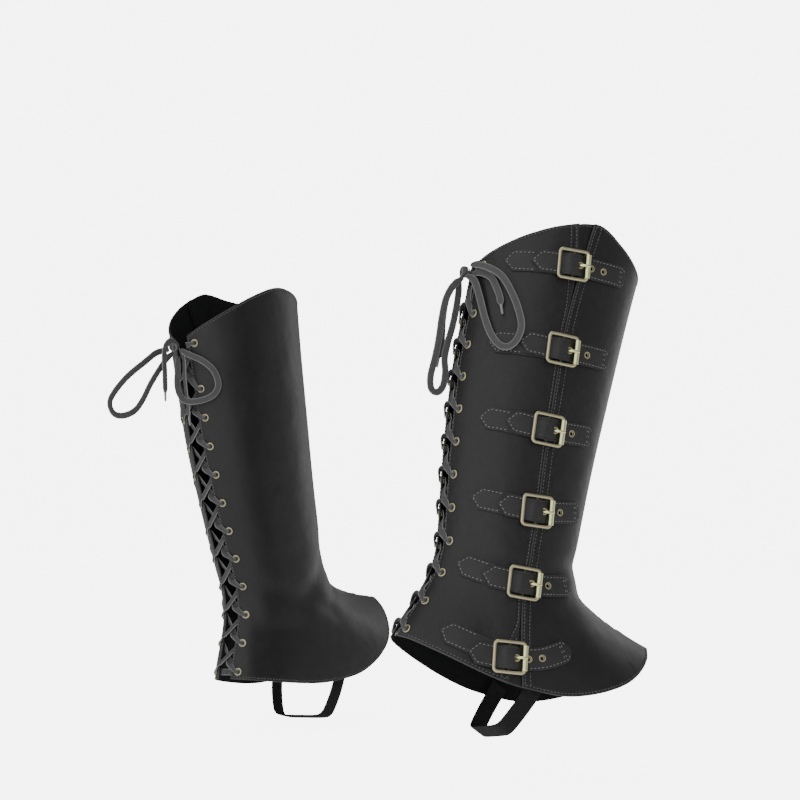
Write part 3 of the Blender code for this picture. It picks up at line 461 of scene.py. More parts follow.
class Wire:
    """A node's output that takes part in Python arithmetic."""

    def __init__(self, bench: Bench, socket: bpy.types.NodeSocket) -> None:
        """Keep the socket and the bench that its nodes are made on."""
        self.bench = bench
        self.socket = socket

    def __add__(self, other: "Wire | float") -> "Wire":
        """Sum."""
        return self.bench.maths("ADD", self, other)

    __radd__ = __add__

    def __sub__(self, other: "Wire | float") -> "Wire":
        """Difference."""
        return self.bench.maths("SUBTRACT", self, other)

    def __rsub__(self, other: "Wire | float") -> "Wire":
        """Difference from a number."""
        return self.bench.maths("SUBTRACT", other, self)

    def __mul__(self, other: "Wire | float") -> "Wire":
        """Product."""
        return self.bench.maths("MULTIPLY", self, other)

    __rmul__ = __mul__

    def __truediv__(self, other: "Wire | float") -> "Wire":
        """Quotient."""
        return self.bench.maths("DIVIDE", self, other)

    def __pow__(self, other: float) -> "Wire":
        """Power."""
        return self.bench.maths("POWER", self, other)

    def sine(self) -> "Wire":
        """Sine, for radians."""
        return self.bench.maths("SINE", self)

    def wave(self, length: float) -> "Wire":
        """Wave between 0 and 1 that comes round once in a length."""
        return (self * (2 * math.pi / length)).sine() * 0.5 + 0.5

    def size(self) -> "Wire":
        """Value without its sign."""
        return self.bench.maths("ABSOLUTE", self)

    def limited(self) -> "Wire":
        """Value held between 0 and 1."""
        return self.bench.maths("MINIMUM", self.bench.maths("MAXIMUM", self, 0.0), 1.0)


@dataclass(frozen=True)
class Finish:
    """A material's name, colour and gloss, and the steps that every finish shares."""

    name: str
    colour: Colour
    roughness: float
    specular: float = 0.5

    def material(self) -> bpy.types.Material:
        """The finish's material, made once."""
        found = bpy.data.materials.get(self.name)
        if found:
            return found
        made = bpy.data.materials.new(self.name)
        made.use_nodes = True
        shader = made.node_tree.nodes["Principled BSDF"]
        shader.inputs["Base Color"].default_value = (*self.colour, 1.0)
        shader.inputs["Roughness"].default_value = self.roughness
        shader.inputs["Specular IOR Level"].default_value = self.specular
        made.diffuse_color = (*self.colour, 1.0)
        self.dress(Bench(made.node_tree), shader)
        return made

    def dress(self, bench: Bench, shader: bpy.types.Node) -> None:
        """Add the finish's own nodes."""

    def noise(self, bench: Bench, size_mm: float, detail: float = 3.0) -> Wire:
        """Noise on the piece's own coordinates, from 0 to 1, with lumps of a given size."""
        return bench.wire("ShaderNodeTexNoise", {"noise_dimensions": "3D"},
                          {"Vector": bench.place(), "Scale": 1 / (size_mm * MM), "Detail": detail})

    def bump(self, bench: Bench, height: Wire, depth_mm: float, before: Wire | None = None) -> Wire:
        """A normal bent by a height from 0 to 1 that stands for a depth in mm."""
        values = {"Height": height, "Distance": depth_mm * MM, "Strength": 1.0}
        if before is not None:
            values["Normal"] = before
        return bench.wire("ShaderNodeBump", None, values, output="Normal")

    def attach(self, bench: Bench, shader: bpy.types.Node, **sockets: Wire) -> None:
        """Link wires to the shader's sockets, whose names have _ for a space."""
        for name, wire in sockets.items():
            bench.tree.links.new(wire.socket, shader.inputs[name.replace("_", " ")])


@dataclass(frozen=True)
class Leather(Finish):
    """Smooth faux leather with a fine pressed grain and faint scuffs, its edges painted paler: partly worn,
    partly a painted highlight.
    """

    grain_mm: float = 0.75
    grain_depth: float = 0.05
    dent_mm: float = 34.0
    dent_depth: float = 1.5
    cloud_mm: float = 60.0
    scuff_mm: float = 4.0
    uneven_tone: float = 0.06
    uneven_gloss: float = 0.10
    # Paler colour painted along the edges: partly worn leather, partly a painted highlight where the edges
    # catch light.
    worn_and_highlight_colour: Colour = (0.10, 0.10, 0.104)
    wear_and_highlight: float = 0.7

    def dress(self, bench: Bench, shader: bpy.types.Node) -> None:
        """Pressed grain, soft dents, uneven gloss, and edges painted greyer: partly worn, partly a painted
        highlight.
        """
        cells = bench.wire("ShaderNodeTexVoronoi", {"feature": "SMOOTH_F1"},
                           {"Vector": bench.place(), "Scale": 1 / (self.grain_mm * MM), "Smoothness": 0.6},
                           output="Distance")
        cloudy = self.noise(bench, self.cloud_mm, 2.0)
        scuffs = self.noise(bench, self.scuff_mm, 4.0)
        # Mask of the edges where the paler colour is mixed in: partly worn leather, partly a painted
        # highlight.
        worn = bench.wire("ShaderNodeAttribute", {"attribute_name": "edge_wear"}, output="Fac")
        tone = (worn * self.wear_and_highlight * (scuffs * 0.8 + 0.2) + (cloudy - 0.5) * self.uneven_tone).limited()
        gloss = self.roughness + (cloudy - 0.5) * self.uneven_gloss + (scuffs - 0.5) * self.uneven_gloss
        dents = self.bump(bench, self.noise(bench, self.dent_mm, 1.0), self.dent_depth)
        dents = self.bump(bench, self.noise(bench, self.dent_mm / 3, 2.0), self.dent_depth / 4, dents)
        self.attach(bench, shader, Base_Color=bench.mixed(tone, self.colour, self.worn_and_highlight_colour),
                    Roughness=gloss, Normal=self.bump(bench, cells, self.grain_depth, dents))


@dataclass(frozen=True)
class Backing(Finish):
    """The matt woven backing on the leather's inner face."""

    thread_mm: float = 0.8
    weave_depth: float = 0.08

    def dress(self, bench: Bench, shader: bpy.types.Node) -> None:
        """A plain weave."""
        x, y, z = bench.parts(bench.place())
        turn = 2 * math.pi / (self.thread_mm * MM)
        weave = (z * turn).sine() * ((x + y) * turn).sine() * 0.5 + 0.5
        self.attach(bench, shader, Normal=self.bump(bench, weave, self.weave_depth))


@dataclass(frozen=True)
class Thread(Finish):
    """Sewing thread with a twist."""

    twist_mm: float = 0.5
    twist_depth: float = 0.06

    def dress(self, bench: Bench, shader: bpy.types.Node) -> None:
        """Plies that show as slanted ridges."""
        x, y, z = bench.parts(bench.place())
        ply = (x + y + z).wave(self.twist_mm * MM)
        self.attach(bench, shader, Normal=self.bump(bench, ply, self.twist_depth),
                    Roughness=self.roughness + (ply - 0.5) * 0.2)


@dataclass(frozen=True)
class LaceCotton(Finish):
    """Flat woven cotton lace, with a chevron weave and a painted highlight that makes its edges and raised
    ribs paler.
    """

    rib_mm: float = 0.95
    rib_slant: float = 0.9
    picks_per_rib: float = 1.1
    rib_share: float = 0.75
    weave_depth: float = 0.16
    fuzz_mm: float = 0.5
    edge_power: float = 7.0
    # Colour of the painted highlight along the lace's edges.
    edge_highlight_colour: Colour = (0.48, 0.48, 0.49)

    def dress(self, bench: Bench, shader: bpy.types.Node) -> None:
        """Chevrons along the lace from its own attribute: (along mm, across mm, share to the edge)."""
        along, across, edge = bench.parts(bench.painted("weave"))
        ribs = (along + across.size() * self.rib_slant).wave(self.rib_mm)
        picks = across.wave(self.rib_mm / self.picks_per_rib)
        height = ribs * self.rib_share + picks * (1 - self.rib_share)
        fuzz = self.noise(bench, self.fuzz_mm, 2.0)
        # Painted highlight and shade: paler at the edges and on the raised ribs, darker in the weave's
        # hollows, with random fuzz.
        pale = (edge ** self.edge_power * 0.75 + (fuzz - 0.5) * 0.3 + (height - 0.5) * 0.3 + 0.08).limited()
        self.attach(bench, shader, Base_Color=bench.mixed(pale, self.colour, self.edge_highlight_colour),
                    Roughness=self.roughness + (fuzz - 0.5) * 0.15,
                    Normal=self.bump(bench, height + fuzz * 0.2, self.weave_depth))


@dataclass(frozen=True)
class Elastic(Finish):
    """Ribbed elastic webbing."""

    rib_mm: float = 1.6
    pick_mm: float = 0.9
    rib_depth: float = 0.15

    def dress(self, bench: Bench, shader: bpy.types.Node) -> None:
        """Ribs along the strap with fine picks between them."""
        along, across, _ = bench.parts(bench.painted("weave"))
        picks = along.wave(self.pick_mm)
        self.attach(bench, shader, Normal=self.bump(bench, picks * across.wave(self.rib_mm), self.rib_depth),
                    Roughness=self.roughness + (picks - 0.5) * 0.1)


@dataclass(frozen=True)
class Brass(Finish):
    """Antique brass, bright where it is rubbed and duller between."""

    dull_colour: Colour = (0.40, 0.45, 0.18)
    patina: float = 0.35
    patch_mm: float = 5.0
    bare_below: float = 0.42
    speck_mm: float = 0.7
    speck_depth: float = 0.02

    def dress(self, bench: Bench, shader: bpy.types.Node) -> None:
        """Patches of patina with duller gloss, and fine specks."""
        shader.inputs["Metallic"].default_value = 1.0
        patches = self.noise(bench, self.patch_mm, 4.0)
        specks = self.noise(bench, self.speck_mm, 2.0)
        dull = ((patches - self.bare_below) * 3.0).limited() * self.patina
        self.attach(bench, shader, Base_Color=bench.mixed(dull, self.colour, self.dull_colour),
                    Roughness=self.roughness + dull * 0.2 + (specks - 0.5) * 0.16,
                    Normal=self.bump(bench, specks, self.speck_depth))


@dataclass(frozen=True)
class Plastic(Finish):
    """Plain plastic with a slight cloudiness."""

    cloud_mm: float = 1.5

    def dress(self, bench: Bench, shader: bpy.types.Node) -> None:
        """Uneven gloss."""
        cloudy = self.noise(bench, self.cloud_mm, 2.0)
        self.attach(bench, shader, Roughness=self.roughness + (cloudy - 0.5) * 0.2)


@dataclass(frozen=True)
class Paper(Finish):
    """The plain pale floor."""

    glow: float = 6.0
    cast: float = 0.055
    low: float = 0.8
    tooth_mm: float = 3.0

    def dress(self, bench: Bench, shader: bpy.types.Node) -> None:
        """A faint tooth, and a glow that is white for the camera and casts a little light up."""
        shader.inputs["Emission Strength"].default_value = self.glow
        seen = bench.wire("ShaderNodeLightPath", output="Is Camera Ray")
        height = bench.parts(bench.place())[2] - CAD_BOX[0].z
        cast = (1.0 - height / self.low).limited() * self.cast
        tooth = self.noise(bench, self.tooth_mm, 2.0)
        self.attach(bench, shader, Roughness=self.roughness + (tooth - 0.5) * 0.1,
                    Emission_Color=bench.mixed((cast + seen).limited(), (0.0, 0.0, 0.0), (1.0, 1.0, 1.0)))


BLACK_LEATHER = Leather("black_leather", (0.0095, 0.0095, 0.0100), 0.42)
# The straps' edges are painted far paler: partly worn, partly a painted highlight that outlines each strap.
STRAP_LEATHER = Leather("strap_leather", (0.0115, 0.0115, 0.0120), 0.40,
                        worn_and_highlight_colour=(0.30, 0.30, 0.304), wear_and_highlight=1.5)
BACKING = Backing("woven_backing", (0.010, 0.010, 0.011), 0.9, 0.2)
PANEL_THREAD = Thread("panel_thread", (0.17, 0.17, 0.174), 0.6)
STRAP_THREAD = Thread("strap_thread", (0.30, 0.30, 0.305), 0.6)
CHARCOAL_LACE = LaceCotton("charcoal_lace", (0.060, 0.060, 0.062), 0.85, 0.3)
BLACK_ELASTIC = Elastic("black_elastic", (0.012, 0.012, 0.013), 0.8, 0.3)
ANTIQUE_BRASS = Brass("antique_brass", (0.90, 1.00, 0.58), 0.22)
# Dark brass for the buckle's middle bar under the strap: painted shade that hides the bar's ends.
SHADED_BAR_BRASS = Brass("painted_shade_brass", (0.16, 0.16, 0.09), 0.4)
BRIGHT_BRASS = Brass("rubbed_brass", (0.98, 1.00, 0.56), 0.22, patina=0.1)
GREY_PLASTIC = Plastic("grey_plastic", (0.26, 0.26, 0.25), 0.35)
PALE_PAPER = Paper("pale_paper", (0.86, 0.86, 0.86), 0.9, 0.1)


class Sculpt:
    """Points and faces of one piece, gathered before they become a mesh."""

    def __init__(self) -> None:
        """Start empty."""
        self.points: list[Array] = []
        self.faces: list[tuple[int, ...]] = []
        self.slots: list[int] = []
        self.paint: dict[str, list[Array]] = {}
        self.count = 0

    def add(self, points: Array, faces: list[tuple[int, ...]], slot: int = 0, **paint: Array) -> None:
        """Add points in metres with their faces.

        Args:
            points: the places.
            faces: each face's points, counted from the first of these.
            slot: the material that the faces take.
            paint: named values for each point, one or three numbers each.
        """
        self.points.append(points)
        self.join([[i + self.count for i in face] for face in faces], slot)
        for name, values in paint.items():
            self.paint.setdefault(name, []).append(values)
        self.count += len(points)

    def join(self, faces: list, slot: int = 0) -> None:
        """Add faces over points that are there already."""
        self.faces += [tuple(face) for face in faces]
        self.slots += [slot] * len(faces)

    def loft(self, rings: Array, slot: int = 0, cyclic: bool = False, **paint: Array) -> None:
        """Add a skin over rings of points, closed by flat ends unless it runs round."""
        count, sides = rings.shape[:2]
        faces = []
        for i in range(count if cyclic else count - 1):
            first = i * sides
            second = (i + 1) % count * sides
            faces += [(first + k, first + (k + 1) % sides, second + (k + 1) % sides, second + k)
                      for k in range(sides)]
        if not cyclic:
            faces += [tuple(range(sides)), tuple(range((count - 1) * sides, count * sides))]
        painted = {name: values.reshape(count * sides, -1) for name, values in paint.items()}
        self.add(rings.reshape(-1, 3), faces, slot, **painted)

    def piece(self, name: str, finishes: list[Finish], sharp: float | None = None) -> bpy.types.Object:
        """The finished object, with its faces turned out.

        Args:
            name: the object's name.
            finishes: the finishes of its material slots.
            sharp: angle in degrees past which an edge stays crisp.

        Returns:
            The object, at the origin.
        """
        mesh = bpy.data.meshes.new(name)
        mesh.from_pydata(np.vstack(self.points).tolist(), [], self.faces)
        mesh.polygons.foreach_set("material_index", self.slots)
        for key, chunks in self.paint.items():
            paint_points(mesh, key, chunks)
        shape = bmesh.new()
        shape.from_mesh(mesh)
        bmesh.ops.recalc_face_normals(shape, faces=shape.faces)
        shape.to_mesh(mesh)
        shape.free()
        mesh.shade_smooth()
        if sharp is not None:
            mesh.set_sharp_from_angle(angle=math.radians(sharp))
        for finish in finishes:
            mesh.materials.append(finish.material())
        return linked(name, mesh)


def baked(item: bpy.types.Object) -> bpy.types.Object:
    """Turn an object's modifiers into its plain mesh."""
    graph = bpy.context.evaluated_depsgraph_get()
    mesh = bpy.data.meshes.new_from_object(item.evaluated_get(graph))
    item.modifiers.clear()
    item.data = mesh
    mesh.name = item.name
    return item


def dress(piece: bpy.types.Object, slot: Slot | None, *nodes: str) -> bpy.types.Object:
    """Put a piece on the frame and hide the nodes that it stands for."""
    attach(piece, BODY)
    if nodes:
        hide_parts(*nodes)
    log.info("made %s: %d faces", piece.name, len(piece.data.polygons))
    return piece


@dataclass
class SewnLine:
    """Even spots along a line: their places, the way that the line runs and the way out."""

    places: Array
    along: Array
    out: Array

    @classmethod
    def through(cls, points: Array, out: Array, pitch: float) -> "SewnLine":
        """Spots a pitch apart on a line of points with their ways out."""
        lengths = lengths_along(points)
        count = max(1, int(lengths[-1] / pitch))
        wanted = (np.arange(count) + 0.5) * lengths[-1] / count
        step = pitch / 4
        places = columns_at(lengths, points, wanted)
        ahead = columns_at(lengths, points, wanted + step) - columns_at(lengths, points, wanted - step)
        return cls(places, unit(ahead), unit(columns_at(lengths, out, wanted)))

    def worn(self, posture: Posture) -> "SewnLine":
        """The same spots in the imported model's frame."""
        return SewnLine(posture.places(self.places), posture.ways(self.along), posture.ways(self.out))


class Repeater:
    """Copies of one small shape on many spots, by Geometry Nodes."""

    ALONG = "along"
    OUT = "out"

    def __init__(self, name: str, sizes: dict[str, float]) -> None:
        """Make the tree with its named sizes.

        Args:
            name: the tree's name.
            sizes: each named input and its value, in metres or as a plain number.
        """
        self.sizes = sizes
        self.tree = bpy.data.node_groups.new(name, "GeometryNodeTree")
        self.bench = Bench(self.tree)
        face = self.tree.interface
        for way in ("OUTPUT", "INPUT"):
            face.new_socket("Geometry", in_out=way, socket_type="NodeSocketGeometry")
        self.idents = {}
        for key, kind in (*((size, "Float") for size in sizes), ("Seed", "Int"), ("Material", "Material")):
            socket = face.new_socket(key, in_out="INPUT", socket_type=f"NodeSocket{kind}")
            self.idents[key] = socket.identifier
        self.inputs = self.bench.make("NodeGroupInput")
        self.build()

    def given(self, name: str) -> Wire:
        """One of the tree's named inputs."""
        return Wire(self.bench, self.inputs.outputs[name])

    def shape(self) -> Wire:
        """The geometry that is repeated."""
        raise NotImplementedError

    def build(self) -> None:
        """Turn a copy to each spot's ways, vary its size a little and join all."""
        bench = self.bench
        along, out = (bench.wire("GeometryNodeInputNamedAttribute", {"data_type": "FLOAT_VECTOR"},
                                 {"Name": name}) for name in (self.ALONG, self.OUT))
        turn = bench.wire("FunctionNodeAxesToRotation", {"primary_axis": "Z", "secondary_axis": "X"},
                          {0: out, 1: along})
        spread = self.given("Spread")
        size = bench.wire("FunctionNodeRandomValue", {"data_type": "FLOAT"},
                          {2: 1 - spread, 3: 1 + spread, "Seed": self.given("Seed")}, output=1)
        copies = bench.wire("GeometryNodeInstanceOnPoints", None,
                            {"Points": self.given("Geometry"), "Instance": self.shape(), "Rotation": turn,
                             "Scale": size})
        real = bench.wire("GeometryNodeRealizeInstances", None, {"Geometry": copies})
        smooth = bench.wire("GeometryNodeSetShadeSmooth", None, {"Geometry": real})
        dressed = bench.wire("GeometryNodeSetMaterial", None,
                             {"Geometry": smooth, "Material": self.given("Material")})
        bench.make("NodeGroupOutput", None, {"Geometry": dressed})

    def piece(self, name: str, lines: list[SewnLine], finish: Finish, seed: int) -> bpy.types.Object:
        """One plain mesh of a copy on every spot of some lines."""
        mesh = bpy.data.meshes.new(name)
        mesh.from_pydata(np.vstack([line.places for line in lines]).tolist(), [], [])
        paint_points(mesh, self.ALONG, [line.along for line in lines])
        paint_points(mesh, self.OUT, [line.out for line in lines])
        made = linked(name, mesh)
        modifier = made.modifiers.new("repeat", "NODES")
        modifier.node_group = self.tree
        for key, value in self.sizes.items():
            modifier[self.idents[key]] = value
        modifier[self.idents["Seed"]] = seed
        modifier[self.idents["Material"]] = finish.material()
        baked(made)
        for key in (self.ALONG, self.OUT):
            attribute = made.data.attributes.get(key)
            if attribute:
                made.data.attributes.remove(attribute)
        return made


class Stitches(Repeater):
    """Single thread stitches, each a slim bead sunk in the leather."""

    def __init__(self) -> None:
        """Name the stitch's sizes."""
        super().__init__("sewn_stitches", {"Length": 2.6 * MM, "Thickness": 0.8 * MM, "Spread": 0.08})

    def shape(self) -> Wire:
        """A bead of few faces."""
        bead = self.bench.wire("GeometryNodeMeshUVSphere", None, {"Segments": 6, "Rings": 4, "Radius": 0.5})
        length, thick = (self.given(name) for name in ("Length", "Thickness"))
        size = self.bench.wire("ShaderNodeCombineXYZ", None, {0: length, 1: thick, 2: thick})
        return self.bench.wire("GeometryNodeTransform", None, {"Geometry": bead, "Scale": size})


class Eyelets(Repeater):
    """Pressed metal eyelets: a rolled rim, a barrel through the leather and a washer behind it."""

    AROUND = 24
    SIDES = 8
    SHEET = 0.22 * MM

    def __init__(self, name: str, hole: float, rim: float, height: float, depth: float) -> None:
        """Name the eyelet's sizes, in mm.

        Args:
            name: the tree's name.
            hole: the clear diameter.
            rim: the rim's outer diameter.
            height: how far the rim stands up.
            depth: the thickness of what the eyelet is pressed through.
        """
        super().__init__(name, {"Hole": hole * MM, "Rim": rim * MM, "Height": height * MM,
                                "Depth": depth * MM, "Spread": 0.01})

    def ring(self, radius: Wire, half_width: Wire | float, half_height: Wire | float,
             middle: Wire | float) -> Wire:
        """A ring round Z whose section is an oval.

        Args:
            radius: of the middle of the section.
            half_width: of the section, across the ring.
            half_height: of the section, along Z.
            middle: where the section is along Z.

        Returns:
            The ring's mesh.
        """
        bench = self.bench
        line, section = (bench.wire("GeometryNodeCurvePrimitiveCircle", {"mode": "RADIUS"},
                                    {"Resolution": steps, "Radius": size})
                         for steps, size in ((self.AROUND, radius), (self.SIDES, 1.0)))
        scale = bench.wire("ShaderNodeCombineXYZ", None, {0: half_height, 1: half_width, 2: 1.0})
        oval = bench.wire("GeometryNodeTransform", None, {"Geometry": section, "Scale": scale})
        mesh = bench.wire("GeometryNodeCurveToMesh", None, {"Curve": line, "Profile Curve": oval})
        place = bench.wire("ShaderNodeCombineXYZ", None, {0: 0.0, 1: 0.0, 2: middle})
        return bench.wire("GeometryNodeTransform", None, {"Geometry": mesh, "Translation": place})

    def shape(self) -> Wire:
        """Rim, barrel and washer."""
        hole, rim, height, depth = (self.given(name) for name in ("Hole", "Rim", "Height", "Depth"))
        sheet = self.SHEET
        mean = (hole + rim) * 0.25
        half = (rim - hole) * 0.25
        top = self.ring(mean, half, height * 0.5, height * 0.18)
        barrel = self.ring(hole * 0.5 + sheet, sheet, depth * 0.5 + height * 0.25, depth * -0.5)
        washer = self.ring(mean, half, sheet, depth * -1.0 - sheet)
        joined = self.bench.make("GeometryNodeJoinGeometry")
        for part in (top, barrel, washer):
            self.bench.tree.links.new(part.socket, joined.inputs[0])
        return Wire(self.bench, joined.outputs[0])


@dataclass(frozen=True)
class SewnEdge:
    """How an edge of a panel is finished.

    Attributes:
        rows: distances of its stitch rows from its cut edge, mm.
        tuck: how far the cut edge runs in under the next panel at a station, mm.
    """

    rows: tuple[float, ...] = (2.6,)
    tuck: Callable[[Array], Array] = np.zeros_like

    def row_at(self, row: float, station: Array) -> Array:
        """A row's distance from the edge that shows, at stations."""
        return row - np.maximum(self.tuck(station), 0.0)


class PanelGrid:
    """Rows and columns of spots on one panel, which run at true distances along its edges."""

    def __init__(self, form: CoverForm, start: Callable[[Array], Array], end: Callable[[Array], Array],
                 band: float = 10.0) -> None:
        """Keep the panel's outline.

        Args:
            form: the cover's form.
            start: angle of the panel's first edge at a station.
            end: angle of its last edge at a station.
            band: width along each edge that has its own rows and columns, mm.
        """
        self.form = form
        self.start = start
        self.end = end
        self.band = band

    def row(self, end: str, value: float) -> tuple[float, float, float]:
        """Shares that give a row's station: fixed, per mm at the hem and per mm at the top.

        Args:
            end: "hem" or "top" for a distance in mm from it, "skirt" or "shank" for a share of it.
            value: that distance or share.

        Returns:
            The row.
        """
        if end == "hem":
            return (-1.0, value, 0.0)
        if end == "top":
            return (1.0, 0.0, -value)
        if end == "skirt":
            return (value - 1.0, self.band * (1 - value), 0.0)
        return (value, 0.0, -self.band * value)

    def column(self, end: str, value: float) -> tuple[float, float, float]:
        """Shares that give a column's angle: between the edges, per mm at each edge."""
        if end == "start":
            return (0.0, value, 0.0)
        if end == "end":
            return (1.0, 0.0, value)
        return (value, self.band * (1 - value), self.band * value)

    def spots(self, rows: list[tuple], columns: list | Array) -> Spots:
        """Angles and levels of all rows by all columns, which may differ from row to row."""
        form = self.form
        rows = np.array(rows)[:, None, :]
        columns = np.array(columns)
        columns = columns if columns.ndim == 3 else columns[None, :, :]
        station = rows[..., 0] + 0 * columns[..., 0]
        for _ in range(3):
            first = self.start(station)
            last = self.end(station)
            rates = []
            for edge in (first, last):
                level = form.station_level(edge, station)
                step = form.point(edge + form.angle_step, level) - form.point(edge - form.angle_step, level)
                rates.append(2 * form.angle_step / np.linalg.norm(step, axis=-1))
            angle = (first * (1 - columns[..., 0]) + last * columns[..., 0]
                     + rates[0] * columns[..., 1] - rates[1] * columns[..., 2])
            hem_step = form.point(angle, -1 + form.share_step) - form.point(angle, np.full_like(angle, -1.0))
            hem_rate = form.share_step / np.linalg.norm(hem_step, axis=-1)
            station = rows[..., 0] + rows[..., 1] * hem_rate + rows[..., 2] / form.top_height(angle)
        return angle, form.station_level(angle, station)


@dataclass
class Panel:
    """One leather panel of a cover, with turned and stitched edges."""

    name: str
    node: str
    grid: PanelGrid
    low: float
    high: float
    hem: SewnEdge
    top: SewnEdge
    first: SewnEdge
    last: SewnEdge
    flat: tuple[float, float]
    area: float
    cell: float = 2.8
    round_off: float = 0.7
    groove: float = 0.32
    groove_width: float = 0.55
    pillow: float = 0.25
    pitch: float = 3.4
    sink: float = 0.4
    sink_width: float = 1.4
    clear: float = 1.3
    proud: float = 0.42
    skirt_length: float = 150.0
    shank_length: float = 285.0
    row_clear: float = 0.75
    row_step: float = 0.55
    tuck_full: float = 3.0
    pillow_at: float = 1.3
    pillow_width: float = 0.8
    # Width of the edges' paler paint, partly worn and partly a painted highlight.
    wear_and_highlight_width: float = 1.2
    back_round: float = 0.6
    EDGE_MARKS = (0.0, 0.1, 0.3, 0.6, 1.1, 1.7, 3.8, 5.2, 7.4)
    FINE_STEP = 0.7
    FAR = 99.0
    TRACE = {"skirt": 50, "shank": 90, "middle": 160}
    TRACE_INSET = 2.6

    def edge_marks(self, edge: SewnEdge) -> list[float]:
        """Distances from an edge at which the panel has a row of points."""
        if len(edge.rows) > 1:
            fine = np.arange(2 * self.FINE_STEP, self.grid.band, self.FINE_STEP)
            return [*self.EDGE_MARKS[:5], *fine.tolist()]
        marks = [mark for mark in self.EDGE_MARKS
                 if all(abs(mark - row) > self.row_clear for row in edge.rows)]
        for row in edge.rows:
            marks += [row - self.row_step, row, row + self.row_step]
        return sorted(mark for mark in marks if mark < self.grid.band)

    def rows(self) -> tuple[list[tuple], Array, Array]:
        """All rows, with their distances from the hem and from the top."""
        skirt = round(self.skirt_length / self.cell)
        shank = round(self.shank_length / self.cell)
        marks = [("hem", d) for d in self.edge_marks(self.hem)]
        marks += [("skirt", i / skirt) for i in range(skirt)]
        marks += [("shank", i / shank) for i in range(shank + 1)]
        marks += [("top", d) for d in reversed(self.edge_marks(self.top))]
        return self.with_distances(marks, self.grid.row, "hem", "top")

    def columns(self, count: int) -> tuple[list[tuple], Array, Array]:
        """All columns, with their distances from the first and last edges."""
        marks = [("start", d) for d in self.edge_marks(self.first)]
        marks += [("middle", i / count) for i in range(count + 1)]
        marks += [("end", d) for d in reversed(self.edge_marks(self.last))]
        return self.with_distances(marks, self.grid.column, "start", "end")

    def with_distances(self, marks: list[tuple[str, float]], make: Callable, low: str,
                       high: str) -> tuple[list[tuple], Array, Array]:
        """Rows or columns of some marks, with each one's distance from the two edges."""
        lines = [make(*mark) for mark in marks]
        from_low = np.array([value if end == low else self.FAR for end, value in marks])
        from_high = np.array([value if end == high else self.FAR for end, value in marks])
        return lines, from_low, from_high

    def finish_at(self, distance: Array, edge: SewnEdge, station: Array) -> tuple[Array, Array]:
        """What an edge's finish adds to the outer face, and how far it brings the faces together."""
        tucked = np.clip(edge.tuck(station) / self.tuck_full, 0, 1)
        round_off = self.round_off * (1 - 0.6 * tucked)
        inside = np.clip(1 - distance / round_off, 0, 1)
        rounding = round_off * (1 - np.sqrt(1 - inside ** 2))
        raised = (self.pillow * np.exp(-((distance - self.pillow_at) / self.pillow_width) ** 2)
                  - self.sink * tucked * np.exp(-(distance / self.sink_width) ** 2))
        for row in edge.rows:
            place = edge.row_at(row, station)
            groove = self.groove * np.clip(place - 0.5, 0, 1)
            raised = raised - groove * np.exp(-((distance - place) / self.groove_width) ** 2)
        return raised, rounding

    def shape(self, posture: Posture, count: int) -> bpy.types.Object:
        """The panel's closed wall, leather outside and backing inside.

        Args:
            posture: where the cover is worn.
            count: columns between the sewn edges.

        Returns:
            The object.
        """
        rows, from_hem, from_top = self.rows()
        columns, from_first, from_last = self.columns(count)
        angle, level = self.grid.spots(rows, columns)
        station = np.array(rows)[:, :1]
        raised = 0.0
        rounding = 0.0
        wear_and_highlight = 0.0
        for distance, edge in ((from_hem[:, None], self.hem), (from_top[:, None], self.top),
                               (from_first[None, :], self.first), (from_last[None, :], self.last)):
            up, together = self.finish_at(distance, edge, station)
            raised = raised + up
            rounding = np.maximum(rounding, together)
            # Near every edge the leather is painted paler: partly worn, partly a painted highlight.
            wear_and_highlight = np.maximum(wear_and_highlight, np.exp(-(distance / self.wear_and_highlight_width) ** 2))
        form = self.grid.form
        outer = form.raised(angle, level, self.high + raised - rounding)
        inner = form.raised(angle, level, self.low + self.back_round * rounding)
        where = np.arange(angle.size).reshape(angle.shape)
        cells = np.stack([where[:-1, :-1], where[:-1, 1:], where[1:, 1:], where[1:, :-1]], axis=-1)
        cells = cells.reshape(-1, 4)
        rim = np.concatenate([where[0, :-1], where[:-1, -1], where[-1, :0:-1], where[:0:-1, 0]])
        ahead = np.roll(rim, -1)
        sides = np.stack([rim, rim + angle.size, ahead + angle.size, ahead], axis=-1)
        points = np.vstack([outer.reshape(-1, 3), inner.reshape(-1, 3)])
        wear_and_highlight = np.concatenate([np.broadcast_to(wear_and_highlight, angle.shape).ravel(), np.zeros(angle.size)])
        shape = Sculpt()
        shape.add(posture.places(points), cells.tolist(), edge_wear=wear_and_highlight[:, None])
        shape.join((cells[:, ::-1] + angle.size).tolist(), 1)
        shape.join(sides.tolist())
        return shape.piece(self.name, [BLACK_LEATHER, BACKING])

